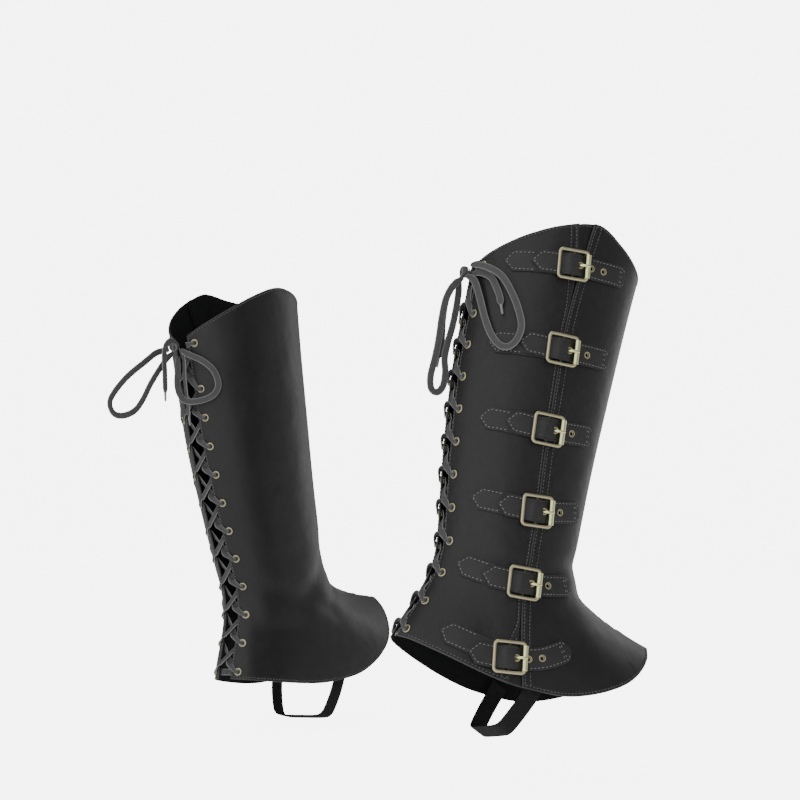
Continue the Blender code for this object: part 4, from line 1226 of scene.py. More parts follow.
    def sewn_paths(self) -> list[tuple[list[tuple], list | Array]]:
        """Rows and columns of the grid that each run of stitches follows."""
        rows = [self.grid.row("hem", self.TRACE_INSET)]
        rows += [self.grid.row("skirt", i / self.TRACE["skirt"]) for i in range(self.TRACE["skirt"])]
        rows += [self.grid.row("shank", i / self.TRACE["shank"]) for i in range(self.TRACE["shank"] + 1)]
        rows.append(self.grid.row("top", self.TRACE_INSET))
        columns = [self.grid.column("start", self.TRACE_INSET)]
        columns += [self.grid.column("middle", i / self.TRACE["middle"])
                    for i in range(self.TRACE["middle"] + 1)]
        columns.append(self.grid.column("end", self.TRACE_INSET))
        paths = []
        for end, edge in (("hem", self.hem), ("top", self.top)):
            paths += [([self.grid.row(end, d)], columns) for d in edge.rows]
        station = np.array(rows)[:, 0]
        for end, edge in (("start", self.first), ("end", self.last)):
            for row in edge.rows:
                place = edge.row_at(row, station)
                breaks = np.flatnonzero(np.diff(place > self.clear)) + 1
                for run in np.split(np.arange(len(rows)), breaks):
                    if place[run[0]] > self.clear and len(run) > 3:
                        paths.append(([rows[i] for i in run],
                                      np.array([[self.grid.column(end, place[i])] for i in run])))
        return paths

    def sewn_lines(self, posture: Posture) -> list[SewnLine]:
        """The panel's stitch rows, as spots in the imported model's frame."""
        form = self.grid.form
        lines = []
        for rows, columns in self.sewn_paths():
            angle, level = (spots.ravel() for spots in self.grid.spots(rows, columns))
            points = form.raised(angle, level, self.high - self.groove + self.proud)
            line = SewnLine.through(points, form.normal(angle, level), self.pitch)
            lines.append(line.worn(posture))
        return lines


def punched(piece: bpy.types.Object, holes: list[SewnLine], diameter: float,
            sides: int = 20) -> bpy.types.Object:
    """Cut round holes through a piece.

    Args:
        piece: the piece, which is changed.
        holes: the holes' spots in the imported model's frame, one in each.
        diameter: of the holes, mm.
        sides: of the holes.

    Returns:
        The piece.
    """
    cutter = Sculpt()
    for hole in holes:
        place = hole.places[0]
        out = Vector(hole.out[0])
        across = np.array(out.orthogonal().normalized())
        along = np.cross(out, across)
        turns = 2 * np.pi * np.arange(sides) / sides
        ring = (np.cos(turns)[:, None] * across + np.sin(turns)[:, None] * along) * (diameter / 2 * MM)
        reach = CUTTER_REACH * np.array(out)
        cutter.loft(np.stack([place - reach + ring, place + reach + ring]))
    tool = cutter.piece("hole_cutter", [])
    cut = piece.modifiers.new("holes", "BOOLEAN")
    cut.operation = "DIFFERENCE"
    cut.solver = "EXACT"
    cut.object = tool
    baked(piece)
    bpy.data.objects.remove(tool, do_unlink=True)
    return piece


@dataclass(frozen=True)
class StrapPlan:
    """Where a strap, its patch and its buckle lie, and its free holes in front of the buckle."""

    patch_tip: float
    strap_tip: float
    buckle: float
    tail_tip: float
    patch_level: float
    strap_level: float
    buckle_level: float
    tail_level: float
    holes: tuple[float, ...]


@dataclass(frozen=True)
class Band:
    """A stretch of a leather band on its route round the cover.

    Attributes:
        route: rows of (distance from the buckle, angle, level).
        start: distance of its first end.
        finish: distance of its last end.
        under: height of its underside over the panel's inner face, at distances.
        thick: its thickness.
        tip: distances from its first end, and half widths there.
        tail: distances from its last end, and half widths there.
    """

    route: Array
    start: float
    finish: float
    under: Callable[[Array], Array]
    thick: float
    tip: tuple
    tail: tuple

    def half_width(self, distance: Array) -> Array:
        """Half of its width at distances."""
        return np.minimum(np.interp(distance - self.start, *self.tip),
                          np.interp(self.finish - distance, *self.tail))


@dataclass
class Straps:
    """The six straps of a cover with their patches, buckles, rings and sewing."""

    form: CoverForm
    posture: Posture
    width: float = 21.0
    thick: float = 1.3
    patch_thick: float = 1.0
    patch_end: float = 8.0
    tail_bend: float = 1.2
    hole: float = 4.4
    prong_hole: float = 6.2
    step: float = 1.6
    sewn_in: float = 2.3
    sewn_tip: float = 2.5
    sewn_tail: float = 3.2
    sewn_end: float = 0.5
    sewn_behind: float = 13.6
    sewn_ahead: float = 17.6
    sewn_step: float = 1.2
    patch_lap: float = 4.0
    tail_rows: tuple[float, float] = (7.2, 9.4)
    end_zone: float = 3.4
    end_round: float = 0.5
    end_run: float = 0.8
    under_cut: float = 0.15
    # Width of the edges' paler paint, partly worn and partly a painted highlight.
    wear_and_highlight_width: float = 1.1
    groove: float = 0.3
    pitch: float = 3.7
    proud: float = 0.34

    PLANS = (
        StrapPlan(142.5, 122.0, 94.0, 48.5, 258.0, 260.0, 260.5, 264.0, (18.5, 32.0)),
        StrapPlan(142.5, 118.5, 88.5, 44.5, 178.0, 180.5, 178.0, 182.0, (27.0,)),
        StrapPlan(140.0, 118.5, 87.5, 43.0, 106.0, 105.0, 101.5, 107.0, (25.5,)),
        StrapPlan(139.5, 117.0, 86.0, 39.0, 31.5, 27.5, 25.5, 35.5, (25.0,)),
        StrapPlan(149.5, 127.5, 93.5, 42.0, -0.215, -0.245, -0.255, -0.225, (24.5,)),
        StrapPlan(154.5, 141.0, 121.0, 69.0, -0.815, -0.895, -0.825, -0.665, (18.0, 31.0)),
    )
    TIP = ((0.0, 8.5), (0.6, 10.5))
    TAIL = ((0.0, 5.5), (2.8, 10.5))
    BLUNT = ((0.0, 1.0), (10.5, 10.5))
    LIFT = ((-200.0, -9.5, -4.0, 5.0, 11.0, 16.0, 26.0, 200.0), (4.3, 4.3, 7.7, 7.8, 4.0, 4.0, 2.9, 2.9))
    BRIDGE = ((0.0, 6.0, 12.0), (1.0, 1.0, 0.0))
    SOFTENED = (-1.4, -0.7, 0.0, 0.7, 1.4)
    TRACED = 241
    NUDGE = 0.5
    END_MARKS = (0.0, 0.25, 0.6, 1.2, 2.2)
    INSETS = (0.0, 0.2, 0.6, 1.2, 1.75, 2.3, 2.85, 3.8, 6.0, 8.2, 10.5)
    EDGE_CROWN = (-0.5, -0.14, 0.05, 0.12, 0.02)
    MIDDLE_CROWN = (0.04, 0.14, 0.22, 0.27, 0.29)

    def route(self, plan: StrapPlan, tip: float, tip_level: float) -> Array:
        """Rows of (distance from the buckle, angle, level) from a tip behind the buckle to the tail's."""
        angle = np.linspace(tip, plan.tail_tip, self.TRACED)
        rear = (angle - plan.buckle) / (tip - plan.buckle)
        front = np.clip((plan.buckle - angle) / (plan.buckle - plan.tail_tip), 0, 1) ** self.tail_bend
        level = np.where(angle > plan.buckle,
                         plan.buckle_level + (tip_level - plan.buckle_level) * rear,
                         plan.buckle_level + (plan.tail_level - plan.buckle_level) * front)
        distance = lengths_along(self.form.point(angle, level))
        return np.stack([distance - np.interp(-plan.buckle, -angle, distance), angle, level], axis=1)

    def spots_on(self, route: Array, distance: Array) -> Spots:
        """Angles and levels at distances along a route."""
        found = columns_at(route[:, 0], route[:, 1:], np.atleast_1d(distance))
        return found[:, 0], found[:, 1]

    def frames_on(self, route: Array, distance: Array) -> tuple[Array, Array, Array]:
        """Points on the panel's smooth inner face, forward ways and outward ways."""
        angle, level = self.spots_on(route, distance)
        out = self.form.normal(angle, level)
        fore = self.form.point(*self.spots_on(route, np.atleast_1d(distance) + self.NUDGE))
        aft = self.form.point(*self.spots_on(route, np.atleast_1d(distance) - self.NUDGE))
        ahead = fore - aft
        ahead = unit(ahead - out * (ahead * out).sum(-1, keepdims=True))
        return self.form.point(angle, level), ahead, out

    def buckle_frame(self, route: Array) -> tuple[Array, Array, float]:
        """Centre, axes as columns and rise of a buckle, which spans the strap like a bridge."""
        middle, _, out = (part[0] for part in self.frames_on(route, 0.0))
        front = self.frames_on(route, Buckle.length / 2)[0][0]
        rear = self.frames_on(route, -Buckle.length / 2)[0][0]
        ahead = unit(front - rear)
        out = unit(out - ahead * (out @ ahead))
        rise = max(0.0, float(((front + rear) / 2 - middle) @ out))
        centre = middle + out * (Buckle.height + rise + self.form.relief(middle))
        return centre, np.stack([ahead, np.cross(out, ahead), out], axis=1), rise

    def under(self, rise: float) -> Callable[[Array], Array]:
        """The height of a strap's underside, smoothed, for a buckle's rise."""

        def height(distance: Array) -> Array:
            """Height at distances from the buckle."""
            near = [np.interp(distance + shift, *self.LIFT) for shift in self.SOFTENED]
            return sum(near) / len(near) + rise * np.interp(np.abs(distance), *self.BRIDGE)

        return height

    def leather(self, name: str, band: Band) -> bpy.types.Object:
        """A band as a piece, with rounded edges and a sunk line where it is sewn.

        Args:
            name: the piece's name.
            band: its stretch of the route.

        Returns:
            The object.
        """
        marks = [band.start + d for d in self.END_MARKS] + [band.finish - d for d in self.END_MARKS]
        inner = np.linspace(band.start + self.end_zone, band.finish - self.end_zone,
                            max(4, round((band.finish - band.start) / self.step)))
        distance = np.sort(np.concatenate([marks, inner]))
        half = band.half_width(distance)
        crown = np.array([*self.EDGE_CROWN, -self.groove, *self.MIDDLE_CROWN])
        crown = np.concatenate([crown, crown[-2::-1]])
        inset = np.concatenate([self.INSETS, self.INSETS[-2::-1]])
        sign = np.sign(np.arange(len(inset)) - len(inset) // 2)
        narrow = np.clip(half / (self.width / 2), 0, 1)[:, None]
        offset = sign * np.maximum(half[:, None] - inset * np.maximum(narrow, 0.25), 0.0)
        end_distance = np.minimum(distance - band.start, band.finish - distance)
        end_drop = self.end_round * np.clip(1 - end_distance / self.end_run, 0, 1)[:, None] ** 2
        under = band.under(distance)[:, None]
        top = under + band.thick + crown * np.clip(narrow * 1.2, 0, 1) - end_drop
        bottom_offset = np.stack([half - self.under_cut, 0 * half, self.under_cut - half], axis=1)
        bottom = under + np.zeros((1, 3)) + 0.4 * end_drop
        offsets = np.concatenate([offset, bottom_offset], axis=1)
        angle, level = self.spots_on(band.route, distance)
        _, ahead, out = self.frames_on(band.route, distance)
        shift = np.cross(out, ahead)[:, None, :] * offsets[..., None]
        angles, levels = self.form.moved(angle[:, None] + 0 * offsets, level[:, None] + 0 * offsets, shift)
        rings = self.form.raised(angles, levels, np.concatenate([top, bottom], axis=1))
        # Along its edges the strap is painted paler: partly worn, partly a painted highlight.
        wear_and_highlight = np.exp(-((half[:, None] - np.abs(offsets)) / self.wear_and_highlight_width) ** 2)
        shape = Sculpt()
        shape.loft(self.posture.places(rings), edge_wear=wear_and_highlight[..., None])
        return shape.piece(name, [STRAP_LEATHER], sharp=70.0)

    def border(self, band: Band, skips: tuple[float, ...] = ()) -> list[SewnLine]:
        """Stitches along both long edges of a band and round its tip.

        Args:
            band: the stretch that is sewn.
            skips: distances at which a row crosses it.

        Returns:
            The lines.
        """
        pointed = band.tip is self.TIP
        low = band.start + (self.sewn_tip if pointed else self.sewn_end)
        high = band.finish - (self.sewn_tail if band.tail is self.TAIL else self.sewn_end)
        distance = np.linspace(low, high, max(8, round((high - low) / self.sewn_step)))
        offset = band.half_width(distance) - self.sewn_in
        if pointed:
            (first, last), (point, full) = band.tip
            offset = np.minimum(offset, (distance - low) * (full - point) / (last - first))
        paths = [(distance[::-1], offset[::-1]), (distance[1:], -offset[1:])]
        if pointed:
            paths = [tuple(np.concatenate(parts) for parts in zip(*paths))]
        reach = self.width / 2 - self.sewn_in - 1
        span = np.linspace(-reach, reach, 9)
        paths += [(np.full(len(span), place), span) for place in skips]
        lines = []
        for distances, offsets in paths:
            angle, level = self.spots_on(band.route, distances)
            _, ahead, out = self.frames_on(band.route, distances)
            angle, level = self.form.moved(angle, level, np.cross(out, ahead) * offsets[:, None])
            height = band.under(distances) + band.thick - self.groove + self.proud
            points = self.form.raised(angle, level, height)
            line = SewnLine.through(points, self.form.normal(angle, level), self.pitch)
            lines.append(line.worn(self.posture))
        return lines

    def holes(self, strap: Band, plan: StrapPlan) -> list[SewnLine]:
        """The spots of a strap's holes, on its face.

        Args:
            strap: the strap's whole stretch.
            plan: where its free holes are.

        Returns:
            One line of one spot for each hole.
        """
        found = []
        for distance in (self.prong_hole, *plan.holes):
            angle, level = self.spots_on(strap.route, distance)
            place = self.form.raised(angle, level, strap.under(np.array([distance])) + self.thick)
            hole = SewnLine(place, self.frames_on(strap.route, distance)[1], self.form.normal(angle, level))
            found.append(hole.worn(self.posture))
        return found

    def build(self, buckle: "Buckle") -> tuple[list[SewnLine], list[SewnLine]]:
        """Make every strap, patch and buckle.

        Args:
            buckle: the buckle that each strap gets.

        Returns:
            The straps' stitch lines, and the spots of their rings.
        """
        cover = self.posture.name
        sewing = []
        rings = []

        def patch_under(distance: Array) -> Array:
            """Height of a patch's underside."""
            return np.full(np.shape(distance), self.form.wall + self.form.layer_gap)

        for number, plan in enumerate(self.PLANS, start=1):
            route = self.route(plan, plan.patch_tip, plan.patch_level)
            patch = Band(route, route[0, 0], -self.patch_end, patch_under, self.patch_thick,
                         self.TIP, self.BLUNT)
            dress(self.leather(f"{cover}_patch_leather_{number}", patch), Slot.STRAP,
                  f"{cover}_patch_{number}")

            route = self.route(plan, plan.strap_tip, plan.strap_level)
            centre, axes, rise = self.buckle_frame(route)
            strap = Band(route, route[0, 0], route[-1, 0], self.under(rise), self.thick, self.TIP, self.TAIL)
            piece = self.leather(f"{cover}_strap_leather_{number}", strap)
            holes = self.holes(strap, plan)
            punched(piece, holes, self.hole)
            dress(piece, Slot.STRAP, f"{cover}_strap_{number}")

            rings += holes
            sewing += self.border(replace(patch, finish=strap.start + self.patch_lap))
            sewing += self.border(replace(strap, finish=-self.sewn_behind, tail=self.BLUNT))
            sewing += self.border(replace(strap, start=self.sewn_ahead, tip=self.BLUNT),
                                  tuple(strap.finish - row for row in self.tail_rows))
            dress(buckle.piece(f"{cover}_buckle_brass_{number}", self.posture, centre, axes),
                  Slot.BRASS, f"{cover}_buckle_{number}")
        return sewing, rings


@dataclass
class Buckle:
    """A roller buckle, in its own frame with its strap along X and +Z out of the cover."""

    length = 31.5
    width: float = 30.5
    corner: float = 5.0
    height = 7.6
    wire: float = 3.2
    bar: float = 1.6
    bar_drop: float = 1.3
    roller: float = 5.4
    roller_length: float = 23.0
    roller_lift: float = 0.3
    prong: float = 2.7
    prong_tip: float = 2.3
    eye: float = 1.1
    eye_wire: float = 0.3

    PRONG = ((0.9, -0.2), (2.2, -1.0), (4.6, -1.35), (6.6, 0.5), (8.2, 2.1), (11.5, 3.3), (15.9, 3.4))

    def swept(self, shape: Sculpt, points: Array, radii: Array, upright: Array, slot: int, sides: int = 12,
              cyclic: bool = False, flatten: float = 1.0) -> None:
        """Add a round or flattened wire along points.

        Args:
            shape: what it is added to.
            points: the wire's middle line, mm.
            radii: its radius at each point.
            upright: a way that the wire's flattened side faces.
            slot: its material slot.
            sides: points round it.
            cyclic: whether it runs round.
            flatten: height of its section for its width.
        """
        if cyclic:
            ahead = np.roll(points, -1, axis=0) - np.roll(points, 1, axis=0)
        else:
            ahead = np.gradient(points, axis=0)
        ahead = unit(ahead)
        across = unit(np.cross(ahead, upright))
        up = np.cross(across, ahead)
        turns = 2 * np.pi * (np.arange(sides) + 0.5) / sides
        side = radii[:, None] * np.cos(turns)
        rise = radii[:, None] * np.sin(turns) * flatten
        shape.loft(sections(points, across, up, side, rise), slot, cyclic)

    def frame_line(self) -> Array:
        """Middle line of the rounded frame."""
        half_length = (self.length - self.wire) / 2
        half_width = (self.width - self.wire) / 2
        radius = self.corner - self.wire / 2
        corners = []
        for quarter, (sign_x, sign_y) in enumerate(((1, 1), (-1, 1), (-1, -1), (1, -1))):
            turns = np.radians(90 * quarter + np.linspace(0, 90, 8))
            centre = (sign_x * (half_length - radius), sign_y * (half_width - radius))
            corners.append(np.stack([centre[0] + radius * np.cos(turns),
                                     centre[1] + radius * np.sin(turns), 0 * turns], axis=1))
        return np.vstack(corners)

    def capped(self, length: float, radius: float, chamfer: float) -> tuple[Array, Array]:
        """Distances along a turned bar and its radii, with small chamfers."""
        half = length / 2
        along = np.array([-half, -half + chamfer, half - chamfer, half])
        return along, np.array([radius - chamfer, radius, radius, radius - chamfer])

    def piece(self, name: str, posture: Posture, centre: Array, axes: Array) -> bpy.types.Object:
        """A buckle on its strap.

        Args:
            name: the object's name.
            posture: where the cover is worn.
            centre: the buckle's middle in the cover's frame.
            axes: its axes in the cover's frame, as columns.

        Returns:
            The object.
        """
        shape = Sculpt()
        up = np.array([0.0, 0.0, 1.0])
        line = self.frame_line()
        self.swept(shape, line, np.full(len(line), self.wire / 2), up, 0, 14, True, 0.94)
        half_width = (self.width - self.wire) / 2
        # The middle bar takes slot 2, a dark brass that paints the shade under the strap.
        bar_y = np.linspace(-half_width, half_width, 6)
        bar = np.stack([0 * bar_y, bar_y, np.full(6, -self.bar_drop)], axis=1)
        self.swept(shape, bar, np.full(6, self.bar / 2), up, 2)
        front = (self.length - self.wire) / 2
        along, radii = self.capped(self.roller_length, self.roller / 2, 0.25)
        roller = np.stack([np.full(4, front), along, np.full(4, self.roller_lift)], axis=1)
        self.swept(shape, roller, radii, up, 1, 20)
        turns = np.linspace(0, 2 * np.pi, 18, endpoint=False)
        eye = self.eye * np.stack([np.cos(turns), 0 * turns, np.sin(turns)], axis=1) - up * self.bar_drop
        self.swept(shape, eye, np.full(18, self.eye_wire), np.array([0.0, 1.0, 0.0]), 1, 8, True, 3.0)
        prong = curve_through(np.array([(x, 0.0, z) for x, z in self.PRONG]), 5)
        thin = np.linspace(0, 1, len(prong))
        radii = self.prong / 2 * (1 - thin) + self.prong_tip / 2 * thin
        radii[-1] *= 0.55
        radii[-2] *= 0.9
        self.swept(shape, prong, radii, up, 1, 10, False, 0.85)
        shape.points = [posture.places(chunk @ axes.T + centre) for chunk in shape.points]
        return shape.piece(name, [ANTIQUE_BRASS, BRIGHT_BRASS, SHADED_BAR_BRASS], sharp=40.0)


@dataclass(frozen=True)
class LaceSize:
    """Widths and thicknesses of the flat lace, mm."""

    width: float = 7.0
    thick: float = 1.2
    bunched_width: float = 3.9
    bunched_thick: float = 1.6


class Ribbon:
    """A flat band of lace swept along spots."""

    SIDE_POWER = 0.55
    FACE_POWER = 0.75
    FACE_MIDDLE = 0.86
    FACE_EDGE = 0.22

    def __init__(self, points: Array, facing: Array, width: Array, thick: Array, sides: int = 14) -> None:
        """Keep the spots, in one frame, mm.

        Args:
            points: the middle line.
            facing: the way that the flat faces at each point.
            width: across the flat at each point.
            thick: through the flat at each point.
            sides: points round the section.
        """
        self.points = points
        self.facing = facing
        self.width = width
        self.thick = thick
        self.sides = sides

    def rings(self) -> tuple[Array, Array]:
        """Points of each section, and its weave coordinates: along, across and share to the edge."""
        ahead = unit(np.gradient(self.points, axis=0))
        across = unit(np.cross(ahead, self.facing))
        flat = np.cross(across, ahead)
        turns = 2 * np.pi * (np.arange(self.sides) + 0.5) / self.sides
        side = np.sign(np.cos(turns)) * np.abs(np.cos(turns)) ** self.SIDE_POWER
        up = np.sign(np.sin(turns)) * np.abs(np.sin(turns)) ** self.FACE_POWER
        up *= self.FACE_MIDDLE + self.FACE_EDGE * side ** 2
        half = self.width[:, None] / 2 * side
        rings = sections(self.points, across, flat, half, self.thick[:, None] / 2 * up)
        return rings, woven(lengths_along(self.points), half, np.abs(side))

    def piece(self, name: str, finish: Finish, posture: Posture) -> bpy.types.Object:
        """The band as an object."""
        rings, weave = self.rings()
        shape = Sculpt()
        shape.loft(posture.places(rings), weave=weave)
        return shape.piece(name, [finish], sharp=75.0)


@dataclass
class Lacing:
    """The two strands that cross up a cover's back, through its eyelets."""

    form: CoverForm
    posture: Posture
    size: LaceSize
    bar_end: float = 0.3
    bar_height: float = -1.5
    top_out: float = 8.2
    top_height: float = 3.9
    top_drop: float = 1.0

    # In an eyelet: how far towards the gap and out it lies, and its flat's turn in degrees
    TURN = ((2.9, -2.0, 0), (-0.2, -0.7, 45), (-0.2, 3.0, 135), (2.5, 3.6, 180))
    # Over the gap: out, share of the way up, height where it runs over and under, width, tilt, lean
    CROSSING = ((7.5, 0.25, 3.2, 3.9, 7.0, 0, 55), (3.8, 0.35, 3.1, -0.1, 6.4, -22, 30),
                (-4.0, 0.66, 0.4, -1.8, 6.0, 28, 0), (-6.6, 0.79, -1.9, -1.5, 4.5, 0, 0))

    def over_gap(self, out: float, level: float, height: float, spin: float, width: float,
                 tilt: float = 0.0, lean: float = 0.0) -> list[float]:
        """Control row of a lace over the gap: place, facing, width and thickness.

        Args:
            out: its distance out from the gap's middle, below 0 on the inner side.
            level: its level on the cover.
            height: how far it lies over the panels' inner face.
            spin: half turns made so far, degrees.
            width: of the lace there.
            tilt: how far its flat faces up the cover, degrees.
            lean: how far its flat faces the cover's side, degrees.

        Returns:
            The row.
        """
        form = self.form
        angle = form.back_angle(level, form.half_gap)
        edge = form.point(angle, level)
        out_way = form.normal(angle, level)
        out_way = unit(out_way * (1, out / form.half_gap, 1))
        step = form.height_step if level > 0 else form.share_step
        upward = unit(form.point(angle, level + step) - edge)
        sideways = np.array([0.0, math.copysign(1.0, out), 0.0])
        facing = out_way * math.cos(math.radians(tilt)) + upward * math.sin(math.radians(tilt))
        facing = facing * math.cos(math.radians(lean)) + sideways * math.sin(math.radians(lean))
        facing = facing * math.cos(math.radians(spin))
        place = np.array([edge[0], out, edge[2]]) + out_way * height
        return [*place, *facing, width, self.size.thick]

    def in_eyelet(self, out: float, level: float, turn: tuple[float, float, float],
                  spin: float) -> list[float]:
        """Control row of a lace at one spot of its turn through an eyelet."""
        form = self.form
        angle = form.back_angle(level, out)
        around, up = form.slopes(angle, level)
        out_way = unit(np.cross(around, up))
        gap_way = unit(around) * math.copysign(1, out)
        place = form.point(angle, level) + gap_way * turn[0] + out_way * turn[1]
        facing_turn = math.radians(spin + turn[2])
        facing = out_way * math.cos(facing_turn) + gap_way * math.sin(facing_turn)
        return [*place, *facing, self.size.bunched_width, self.size.bunched_thick]

    def controls(self, hand: int) -> Array:
        """Control rows of one strand, from the middle of the bottom bar up to the knot."""
        levels = self.form.eyelet_levels
        spin = 0
        rows = [self.over_gap(hand * self.bar_end, levels[0], self.bar_height, spin, self.size.width),
                self.over_gap(hand * self.CROSSING[0][0], levels[0], self.bar_height, spin, self.size.width)]
        for row, level in enumerate(levels):
            where = hand if row % 2 == 0 else -hand
            rows += [self.in_eyelet(where * self.form.eyelet_out, level, turn, spin) for turn in self.TURN]
            spin += 180
            if row == len(levels) - 1:
                break
            over = hand > 0 if row % 2 == 0 else hand < 0
            for out, share, over_height, under_height, width, tilt, lean in self.CROSSING:
                height = over_height if over else under_height
                here = self.form.level_between(level, levels[row + 1], share)
                tilted = tilt if over else -tilt
                rows.append(self.over_gap(where * out, here, height, spin, width, tilted, lean))
        rows.append(self.over_gap(where * self.top_out, levels[-1] - self.top_drop, self.top_height, spin,
                                  self.size.width))
        return np.array(rows)

    def build(self) -> None:
        """Make both strands."""
        cover = self.posture.name
        for hand, strand in ((1, "a"), (-1, "b")):
            rows = curve_through(self.controls(hand), 6)
            ribbon = Ribbon(rows[:, :3], unit(rows[:, 3:6]), rows[:, 6], rows[:, 7])
            piece = ribbon.piece(f"{cover}_woven_strand_{strand}", CHARCOAL_LACE, self.posture)
            dress(piece, Slot.LACE, f"{cover}_lace_strand_{strand}")


@dataclass(frozen=True)
class FreeLace:
    """One free end or loop of the bow: its route from the knot and the way that its flat faces."""

    name: str
    facing: tuple[float, float, float]
    route: tuple[tuple[float, float, float], ...]

    @property
    def is_tail(self) -> bool:
        """Whether it ends in an aglet."""
        return self.name.endswith("tail")


@dataclass
class Bow:
    """The knot at the top of the lacing, with two loops and two tails."""

    posture: Posture
    size: LaceSize
    knot: tuple[float, float, float]
    laces: tuple[FreeLace, ...]
    knot_size: tuple[float, float, float] = (9.0, 12.0, 11.0)
    aglet_length: float = 9.0
    aglet_diameter: float = 2.6
    step: float = 1.6
    knot_run: float = 9.0
    knot_share: float = 0.62
    tip_run: float = 5.0
    tip_share: float = 0.36
    tip_thick: float = 1.9

    # Round the knot: a wrap's axis, its share of the knot's size, its width and where it starts
    WRAPS = (((1.0, 0.15, 0.1), 0.92, 6.4, 0.0), ((0.25, 1.0, 0.35), 0.84, 5.6, 0.4),
             ((0.3, -0.5, 1.0), 0.72, 6.0, 0.9))
    WRAP_SPOTS = 40
    WRAP_SIDES = 12
    WRAP_HALF_THICK = 0.75
    WRAP_CURL = 0.06
    AGLET_RADII = (0.96, 1.08, 1.06, 1.0, 0.92, 0.8, 0.4)

    def even_route(self, lace: FreeLace) -> Array:
        """Even points on a smooth curve through a lace's route."""
        fine = curve_through(np.array(lace.route), 12)
        lengths = lengths_along(fine)
        count = max(3, round(lengths[-1] / self.step)) + 1
        return columns_at(lengths, fine, np.linspace(0, lengths[-1], count))

    def build_free(self, lace: FreeLace) -> None:
        """Make one loop or tail, with an aglet on a tail's end."""
        cover = self.posture.name
        points = self.even_route(lace)
        count = len(points)
        facing = np.tile(unit(np.array(lace.facing)), (count, 1))
        place = np.linspace(0, 1, count)
        from_knot = place if lace.is_tail else np.minimum(place, 1 - place)
        gathered = np.clip(from_knot * count * self.step / self.knot_run, 0, 1)
        width = self.size.width * (self.knot_share + (1 - self.knot_share) * gathered)
        thick = np.full(count, self.size.thick)
        if lace.is_tail:
            end = np.clip((1 - place) * count * self.step / self.tip_run, 0, 1)
            width *= self.tip_share + (1 - self.tip_share) * end ** 0.7
            thick *= self.tip_thick - (self.tip_thick - 1) * end
        ribbon = Ribbon(points, facing, width, thick)
        piece = ribbon.piece(f"{cover}_woven_{lace.name}", CHARCOAL_LACE, self.posture)
        dress(piece, Slot.LACE, f"{cover}_lace_{lace.name}")
        path = self.posture.places(points)
        pieces = [self.build_aglet(lace, points)] if lace.is_tail else []
        tuple(path[0])
        float(lengths_along(path)[-1])
        self.size.width * MM

    def build_aglet(self, lace: FreeLace, points: Array) -> bpy.types.Object:
        """Make the hard tip on a tail's end."""
        way = unit(points[-1] - points[-2])
        end = self.aglet_length
        marks = np.array([-1.0, -0.9, 1.2, 3.0, end - 1.4, end - 0.4, end])
        radii = self.aglet_diameter / 2 * np.array(self.AGLET_RADII)
        line = points[-1] + way * marks[:, None]
        shape = Sculpt()
        Buckle().swept(shape, line, radii, np.array(lace.facing), 0, 14)
        shape.points = [self.posture.places(chunk) for chunk in shape.points]
        aglet = shape.piece(f"{self.posture.name}_aglet_{lace.name}", [GREY_PLASTIC], sharp=50.0)
        return dress(aglet, None)

    def build_knot(self) -> None:
        """Make the knot: a core with two crossing wraps of lace round it."""
        shape = Sculpt()
        half = np.array(self.knot_size) / 2
        for axis, share, width, lead in self.WRAPS:
            axis_way = unit(np.array(axis))
            first = unit(np.cross(axis_way, (0.2, 0.3, 1.0)))
            second = np.cross(axis_way, first)
            turns = np.linspace(0, 2 * np.pi, self.WRAP_SPOTS, endpoint=False) + lead
            ring = np.cos(turns)[:, None] * first + np.sin(turns)[:, None] * second
            points = ring * half * share
            ahead = unit(np.roll(points, -1, axis=0) - np.roll(points, 1, axis=0))
            out = unit(points / half ** 2)
            across = unit(np.cross(ahead, out))
            section = 2 * np.pi * (np.arange(self.WRAP_SIDES) + 0.5) / self.WRAP_SIDES
            side = np.cos(section) * width / 2
            rise = np.sin(section) * self.WRAP_HALF_THICK - self.WRAP_CURL * side ** 2
            rings = sections(points, across, np.cross(across, ahead), side, rise)
            run = np.arange(self.WRAP_SPOTS) * (2 * np.pi * half.mean() * share / self.WRAP_SPOTS)
            weave = woven(run, side, np.abs(side) / (width / 2))
            shape.loft(self.posture.places(rings + np.array(self.knot)), 0, True, weave=weave)
        piece = shape.piece(f"{self.posture.name}_woven_knot", [CHARCOAL_LACE])
        dress(piece, Slot.LACE, f"{self.posture.name}_lace_knot")

    def build(self) -> None:
        """Make the free laces and the knot."""
        for lace in self.laces:
            self.build_free(lace)
        self.build_knot()


